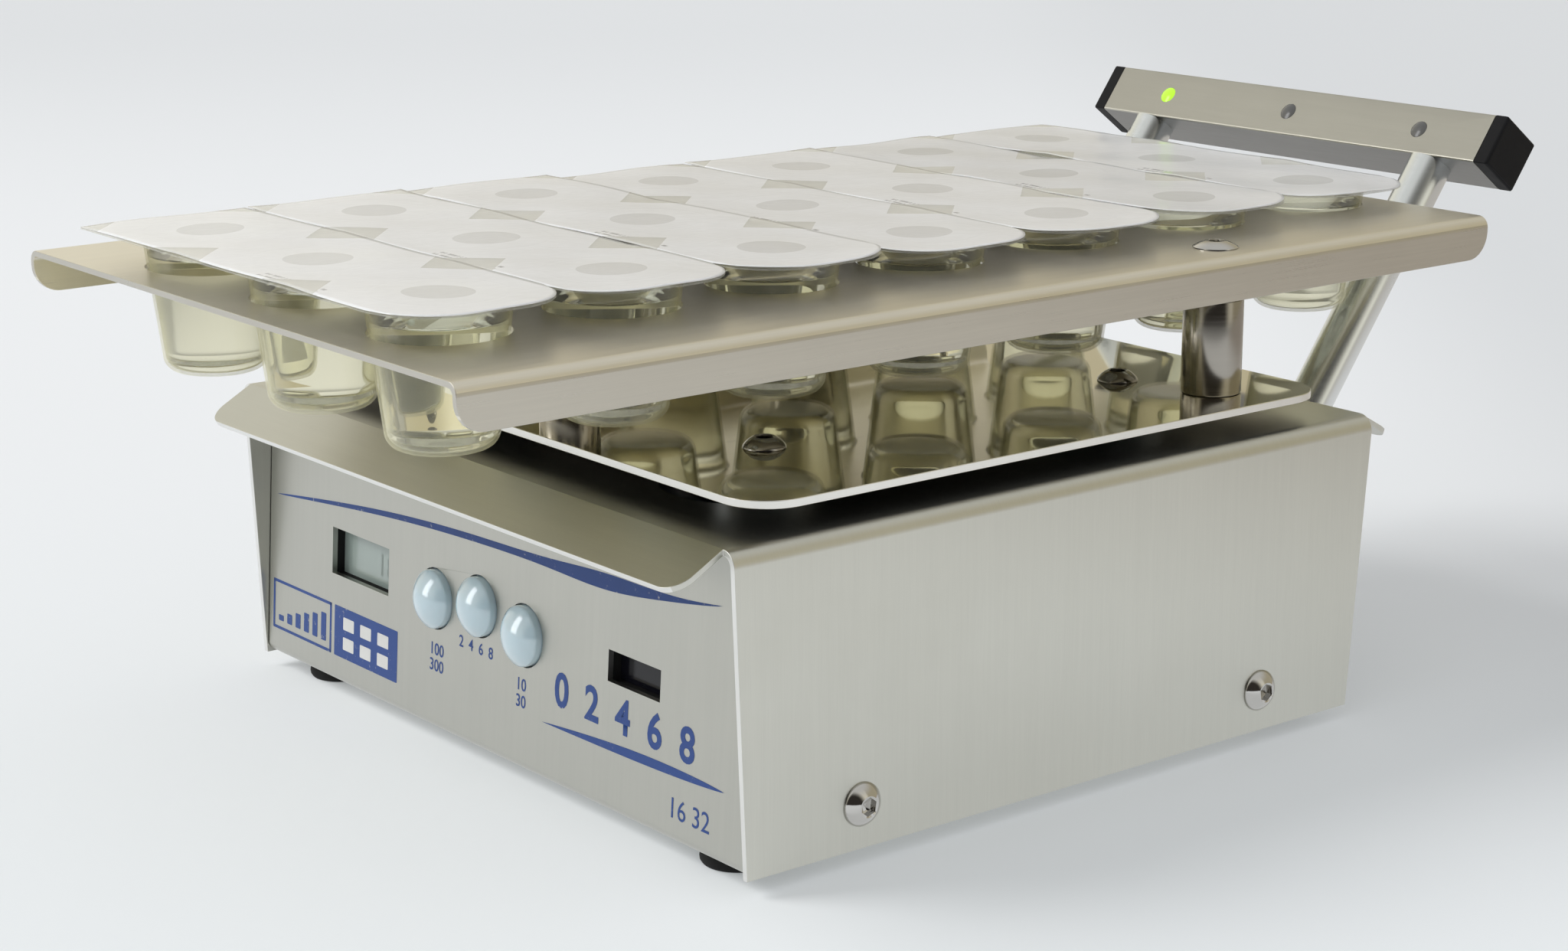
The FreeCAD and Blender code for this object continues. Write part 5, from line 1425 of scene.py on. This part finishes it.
@dataclass
class CupPack:
    """Strips of three sealed cups in the tray, front or rear."""

    shop: Workshop
    end: str
    rows: range
    first_y: float
    pitch_x: float = 51.5 * MM
    pitch_y: float = 45.8 * MM
    radius_at_tray: float = 15.75 * MM
    taper: float = 0.1226
    below: float = 27.7 * MM
    above: float = 6.5 * MM
    wall: float = 0.6 * MM
    length: float = 151.0 * MM
    width: float = 45.0 * MM
    corner: float = 17.0 * MM
    step: float = 1.0 * MM
    fall: float = 0.25 * MM
    first_loose: int = 5

    def build(self) -> None:
        """Makes the strips, their liquid and their lid films."""
        white = (0.955, 0.96, 0.97)
        firm = self.shop.paint.add(LidPrint("lid_print_" + self.end, white, origin_y=self.first_y))
        thin = self.shop.paint.add(LidPrint("lid_print_thin_" + self.end, white,
                                            origin_y=self.first_y, print_alpha=0.80))
        body = "pack_" + self.end
        for row in self.rows:
            y = self.first_y + self.pitch_y * row
            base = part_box("cup_tray")[1].z + self.rise(row)
            strip = self.strip(row, y, base)
            self.shop.seat(strip, body, "cup_wall", ["cup_strips_" + self.end], "clear_plastic")
            web = self.sheet("cup_web_%d" % row, y, base + self.above - 0.35 * MM, row, 0.0)
            self.shop.seat(web, body, "cup_web", [], "clear_plastic")
            liquid = self.liquid(row, y, base)
            self.shop.seat(liquid, body, "cup_liquid", ["diluent_" + self.end], "clear_liquid")
            loose = row >= self.first_loose
            film = self.sheet("lid_film_%d" % row, y, base + self.above + 0.25 * MM, row,
                              1.5 if loose else 1.0)
            self.shop.seat(film, body, thin if loose else firm, ["lid_films_" + self.end],
                           "lid_film")

    def rise(self, row: int) -> float:
        """How much higher than the middle row a strip sits."""
        return self.fall * (3 - row) + (self.step if row < 3 else 0.0)

    def cup_radius(self, height: float, inset: float = 0.0) -> float:
        """Outer radius at a height over the tray's top, less an inset."""
        return self.radius_at_tray + self.taper * height - inset

    def bowl(self, bottom: float, top: float, inset: float, round_radius: float) -> list:
        """Half outline of a tapered cup from the axis to its rim.

        Args:
            bottom: height of the base over the tray's top.
            top: height of the rim.
            inset: distance inside the outer wall.
            round_radius: radius between base and wall.

        Returns:
            Radius and height of each point.
        """
        turn = np.linspace(-math.pi / 2, 0.0, 8)
        wall = self.cup_radius(bottom + round_radius, inset)
        arc = [(wall - round_radius + round_radius * math.cos(a),
                bottom + round_radius + round_radius * math.sin(a)) for a in turn]
        steps = np.linspace(bottom + round_radius, top, 6)[1:]
        return [(0.0, bottom)] + arc + [(self.cup_radius(z, inset), z) for z in steps]

    def three(
        self, name: str, profile: Sequence[tuple[float, float]], y: float, base: float
    ) -> bpy.types.Object:
        """One turned shape at each of a strip's three places, as one piece."""
        parts = [self.shop.lathe("cup", profile, CUP_SEGMENTS, upright(x, y, base))
                 for x in (-self.pitch_x, 0.0, self.pitch_x)]
        return self.shop.join(name, parts)

    def strip(self, row: int, y: float, base: float) -> bpy.types.Object:
        """Three cups with a real wall, open at the top.

        Args:
            row: the strip's number.
            y: its middle.
            base: height of the tray's top under it, with its rise.

        Returns:
            The piece.
        """
        outer = self.bowl(-self.below, self.above, 0.0, 4.0 * MM)
        inner = self.bowl(-self.below + 0.8 * MM, self.above, self.wall, 3.4 * MM)
        return self.three("cup_strip_%d" % row, outer + inner[::-1], y, base)

    def liquid(self, row: int, y: float, base: float) -> bpy.types.Object:
        """The liquid in three cups, with a low meniscus at the wall.

        Args:
            row: the strip's number.
            y: its middle.
            base: height of the tray's top under it, with its rise.

        Returns:
            The piece.
        """
        level = 1.0 * MM
        inset = self.wall + 0.03 * MM
        body = self.bowl(-self.below + 0.83 * MM, level + 0.6 * MM, inset, 3.35 * MM)
        edge = self.cup_radius(level, inset)
        surface = [(edge - 0.5 * MM, level + 0.15 * MM), (edge - 1.6 * MM, level), (0.0, level)]
        return self.three("diluent_%d" % row, body + surface, y, base)

    def sheet(self, name: str, y: float, level: float, row: int, loose: float) -> bpy.types.Object:
        """A thin sheet over three cups, square at its left end and rounded at its right.

        One parameter runs across the strip and the other along it. The right end follows a
        circle at each corner. The height dips a little between the cups, and a loose sheet also
        ripples and lifts at its free corners.

        Args:
            name: the piece's name.
            y: the strip's middle.
            level: height of the sheet.
            row: the strip's number, which sets the ripples' phase.
            loose: 0 for a flat sheet and 1 for a loose one.

        Returns:
            The piece.
        """
        across = np.linspace(-1, 1, 33)[None, :]
        along = np.linspace(0, 1, 97)[:, None]
        side = across * self.width / 2
        past = np.clip(np.abs(side) - (self.width / 2 - self.corner), 0, self.corner)
        end = self.length / 2 - self.corner + np.sqrt(self.corner**2 - past**2)
        x = -self.length / 2 + along * (end + self.length / 2)
        near = np.abs((x + self.pitch_x / 2) % self.pitch_x - self.pitch_x / 2) / (self.pitch_x / 2)
        between = near**2 * (side / (self.width / 2)) ** 2
        ripple = np.sin(x * 95 + row * 1.7) * np.sin(side * 160 + row) * (0.18 * MM)
        lift = between * (np.cos(row * 2.1 + x * 30) * 0.5 + 0.4) * (0.9 * MM)
        z = level + loose * (ripple + lift - 0.35 * MM * between)
        grid = np.stack([x, y + side + 0 * x, z + 0 * x], axis=2)
        piece = self.shop.from_grid(name, grid, (False, False))
        face_towards(piece, 2, 1)
        wall = piece.modifiers.new("thickness", "SOLIDIFY")
        wall.thickness = 0.2 * MM
        wall.offset = 0.0
        return piece


@dataclass
class LampBar:
    """Square tube with end caps and lenses, on two slanted legs."""

    shop: Workshop
    lean: float = math.radians(36.6)
    leg_radius: float = 6.1 * MM
    leg_length: float = 105.0 * MM
    leg_foot: tuple[float, float] = (103.8 * MM, 46.0 * MM)
    leg_x: float = 54.0 * MM
    lens_pitch: float = 49.0 * MM
    lens_radius: float = 2.5 * MM
    bar_size: float = 15.2 * MM
    bar_forward: float = 2.4 * MM

    def place(self, x: float, y: float, z: float) -> Matrix:
        """A placement in the legs' frame, whose Z runs up the legs."""
        origin = Vector((0.0, *self.leg_foot))
        turn = Matrix.Rotation(-self.lean, 4, "X")
        return Matrix.Translation(origin) @ turn @ Matrix.Translation((x, y, z))

    def build(self) -> None:
        """Makes and dresses the lamp bar."""
        bar = self.shop.reskin("lamp_bar", "lamp_tube", 0.12 * MM, "base", "lamp_aluminium",
                               "satin_aluminium")
        # The bar's faces that look down and to the front take a darker copy of its aluminium:
        # painted shade.
        _, normals = face_table(bar)
        under = (normals[:, 2] < -0.6) & (normals[:, 1] < 0)
        mark_faces(bar, under, self.shop.paint["lamp_painted_shade"])
        self.shop.reskin("lamp_bar_caps", "lamp_tube_caps", 0.35 * MM, "base", "black_plastic",
                         "black_plastic")
        self.shop.reskin("leg_brackets", "leg_bracket_pair", 0.2 * MM, "base", "panel_steel",
                         "brushed_stainless")
        self.legs()
        self.lenses()
        self.shop.dress("board_green", "lamp_board")
        self.shop.dress("screw_steel", "leg_screws")

    def legs(self) -> None:
        """Round legs with a broken edge at the foot."""
        soft = 0.4 * MM
        wide = self.leg_radius
        end = self.leg_length - 0.02 * MM
        profile = [(0.0, 0.0), (wide - soft, 0.0), (wide, soft), (wide, end), (0.0, end)]
        for index, side in enumerate((-1, 1), start=1):
            leg = self.shop.lathe("slanted_leg_%d" % index, profile, 64,
                                  self.place(self.leg_x * side, 0.0, 0.0))
            self.shop.seat(leg, "base", "leg_steel", self.shop.once("lamp_legs", index),
                           "satin_steel")

    def lenses(self) -> None:
        """Low domed lenses in the bar's face, the left one lit."""
        front = self.bar_forward - self.bar_size / 2
        radius = self.lens_radius
        profile = [(0.0, -4.6 * MM), (radius * 0.9, -4.6 * MM), (radius, -4.4 * MM), (radius, 0.0),
                   (radius * 0.92, 0.1 * MM), (radius * 0.7, 0.32 * MM), (radius * 0.4, 0.5 * MM),
                   (0.0, 0.59 * MM)]
        forward = Matrix.Rotation(math.radians(90), 4, "X")
        stands_for = (["lamp_lens_lit"], ["lamp_lenses_dark"], [])
        for index, column in enumerate((-1, 0, 1)):
            place = self.place(self.lens_pitch * column, front, self.leg_length + self.bar_size / 2)
            lens = self.shop.lathe("lamp_lens_%d" % (index + 1), profile, 40, place @ forward)
            look = "lens_dark" if index else "lens_lit"
            self.shop.seat(lens, "base", look, stands_for[index], look)


@dataclass
class InnerWorks:
    """Mechanism and electrics inside the housing and on its rear panel."""

    shop: Workshop

    def build(self) -> None:
        """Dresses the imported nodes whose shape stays."""
        dress = self.shop.dress
        dress("milled_aluminium", "mechanism_plate", "main_pulley", "motor_pulley", "power_supply")
        dress("zinc_steel", "deck_pillars", "deck_screws", "motor", "motor_screws", "counterweight")
        dress("ground_steel", "deck_bearings", "main_shaft", "motor_shaft",
              "idler_crank_front_left", "idler_crank_front_right",
              "idler_crank_rear_left", "idler_crank_rear_right")
        dress("black_rubber", "drive_belt")
        for node, name, bevel, body in (
            ("power_inlet", "inlet_body", 0.2, "base"),
            ("switch_frame", "switch_surround", 0.2, "base"),
            ("switch_rocker", "rocker_cap", 0.4, "rocker"),
        ):
            self.shop.reskin(node, name, bevel * MM, body, "black_plastic", "black_plastic")


@dataclass
class Studio:
    """Pale floor, soft light and the photograph's camera."""

    focal: float = 3975.0 / 2048.0 * 36.0
    place: tuple[float, float, float] = (0.6051, -0.5015, 0.2573)
    yaw: float = math.radians(51.594)
    pitch: float = math.radians(14.355)
    roll: float = math.radians(-0.096)
    floor_half: float = 6.0
    viewer: tuple[float, float] = (0.771, -0.637)
    window: tuple[float, float] = (-0.5, -0.866)
    even_light: float = 0.54
    background: float = 0.78
    pane_light: float = 4.5

    def build(self) -> None:
        """Sets up camera, floor, world and lamps."""
        self.camera()
        self.floor()
        self.world()
        self.lamps()
        bpy.context.scene.view_settings.view_transform = "Standard"

    def camera(self) -> None:
        """The camera looks along the yaw, tipped down by the pitch."""
        level = Vector((-math.sin(self.yaw), math.cos(self.yaw), 0.0))
        look = level * math.cos(self.pitch) - Vector((0, 0, math.sin(self.pitch)))
        right = Vector((math.cos(self.yaw), math.sin(self.yaw), 0.0))
        upward = right.cross(look)
        across = right * math.cos(self.roll) + upward * math.sin(self.roll)
        above = upward * math.cos(self.roll) - right * math.sin(self.roll)
        data = bpy.data.cameras.new("photo_camera")
        data.sensor_width = 36.0
        data.lens = self.focal
        data.clip_start = 0.01
        camera = linked("photo_camera", data)
        turn = Matrix((across, above, -look)).transposed().to_4x4()
        camera.matrix_world = Matrix.Translation(self.place) @ turn
        bpy.context.scene.camera = camera

    def floor(self) -> None:
        """A pale floor with painted shade to the back and right, also seen in liquid; metal sees a
        painted room.
        """
        half = self.floor_half
        mesh = bpy.data.meshes.new("floor")
        mesh.from_pydata([(-half, -half, 0), (half, -half, 0), (half, half, 0), (-half, half, 0)],
                         [], [(0, 1, 2, 3)])
        floor = linked("floor", mesh)
        material = bpy.data.materials.new("pale_floor")
        material.use_nodes = True
        graph = Graph(material.node_tree)
        camera, glossy, through = graph.rays()
        x, y, _ = graph.parts(graph.object_point())
        depth = y * math.cos(self.yaw) - x * math.sin(self.yaw)
        near = graph.tint(depth.ramp(-0.25, 0.35), (0.79, 0.84, 0.86), (0.81, 0.81, 0.81))
        # Painted shade: the glow darkens towards the back.
        plain = graph.tint(depth.ramp(0.5, 1.7), near, (0.46, 0.46, 0.46))
        # Painted shadow: the glow darkens to the right, on the object's shadow side.
        aside = x * math.cos(self.yaw) + y * math.sin(self.yaw)
        plain = graph.tint(aside.ramp(0.12, 0.34), plain, (0.30, 0.30, 0.30))
        # Painted reflection of a room for glossy rays: pale near, warm brown further back, dark on
        # the viewer's side.
        beyond = graph.tint(y.ramp(0.05, 0.6), (1.05, 1.07, 1.08), (0.30, 0.20, 0.10))
        towards = x * self.viewer[0] + y * self.viewer[1]
        beyond = graph.tint(towards.ramp(0.55, 1.1), beyond, (0.10, 0.09, 0.08))
        lit = graph.make("ShaderNodeBsdfDiffuse", inputs={"Color": (0.86, 0.88, 0.89, 1.0)})
        shown = graph.tint(camera + through, beyond, plain)
        glow = graph.make("ShaderNodeEmission", inputs={"Color": shown})
        share = camera * 0.3 + (glossy + through) * 0.55
        mixed = graph.make("ShaderNodeMixShader", inputs={0: share, 1: lit, 2: glow})
        graph.make("ShaderNodeOutputMaterial", inputs={"Surface": mixed})
        mesh.materials.append(material)

    def world(self) -> None:
        """Even light; for gloss a warm room with a tall window and a dark side at the viewer."""
        world = bpy.data.worlds.new("room")
        bpy.context.scene.world = world
        world.use_nodes = True
        graph = Graph(world.node_tree)
        camera, shiny, through = graph.rays()
        direct = camera + through
        even = graph.make("ShaderNodeBackground",
                          inputs={"Color": (0.97, 0.98, 1.0, 1.0), "Strength": self.even_light})
        way = graph.make("ShaderNodeTexCoord", output="Generated")
        x, y, height = graph.parts(way)
        level = (x * x + y * y) ** 0.5
        wall = graph.tint((y / level).ramp(0.42, 0.62), (0.92, 0.88, 0.75), (0.53, 0.48, 0.35))
        room = graph.tint(height.ramp(0.35, 0.9), wall, (0.72, 0.72, 0.70))
        pane = ((x * self.window[0] + y * self.window[1]) / level).ramp(0.975, 0.992)
        tall = height.ramp(0.03, 0.08) * (1.0 - height.ramp(0.6, 0.7))
        bright = graph.tint(pane * tall, room, (self.pane_light,) * 3)
        dark = (x * self.viewer[0] + y * self.viewer[1]).ramp(0.5, 0.82)
        shown = graph.tint(dark, bright, (0.045, 0.04, 0.035))
        mirrored = graph.make("ShaderNodeBackground", inputs={"Color": shown, "Strength": 1.0})
        white = graph.make("ShaderNodeBackground",
                           inputs={"Color": (*(self.background,) * 3, 1.0), "Strength": 1.0})
        first = graph.make("ShaderNodeMixShader", inputs={0: shiny, 1: even, 2: mirrored})
        second = graph.make("ShaderNodeMixShader", inputs={0: direct, 1: first, 2: white})
        graph.make("ShaderNodeOutputWorld", inputs={"Surface": second})

    def lamps(self) -> None:
        """A broad soft light from the upper left and a faint one from the front."""
        for name, towards, spread, strength in (
            ("window_left", (-0.66, -0.72, 0.86), 30.0, 2.0),
            ("fill_front", (0.5, -0.9, 0.8), 60.0, 0.3),
        ):
            data = bpy.data.lights.new(name, "SUN")
            data.energy = strength
            data.angle = math.radians(spread)
            lamp = linked(name, data)
            lamp.visible_glossy = False
            lamp.matrix_world = Vector(towards).to_track_quat("Z", "Y").to_matrix().to_4x4()


def main() -> None:
    """Builds the scene, sub-assembly by sub-assembly."""
    logging.basicConfig(level=logging.INFO, format="%(message)s")
    bpy.ops.wm.read_factory_settings(use_empty=True)
    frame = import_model()
    shop = Workshop(frame, Paintbox())
    first_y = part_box("cup_strips_front")[0].y + CupPack.width / 2
    Studio().build()
    Housing(shop).build()
    FrontPanel(shop, PanelPlane(shop)).build()
    Platform(shop).build()
    CupPack(shop, "front", range(0, 3), first_y).build()
    CupPack(shop, "rear", range(3, 7), first_y).build()
    LampBar(shop).build()
    InnerWorks(shop).build()
    LOG.info("%d new pieces", shop.count)


if __name__ == "__main__":
    main()
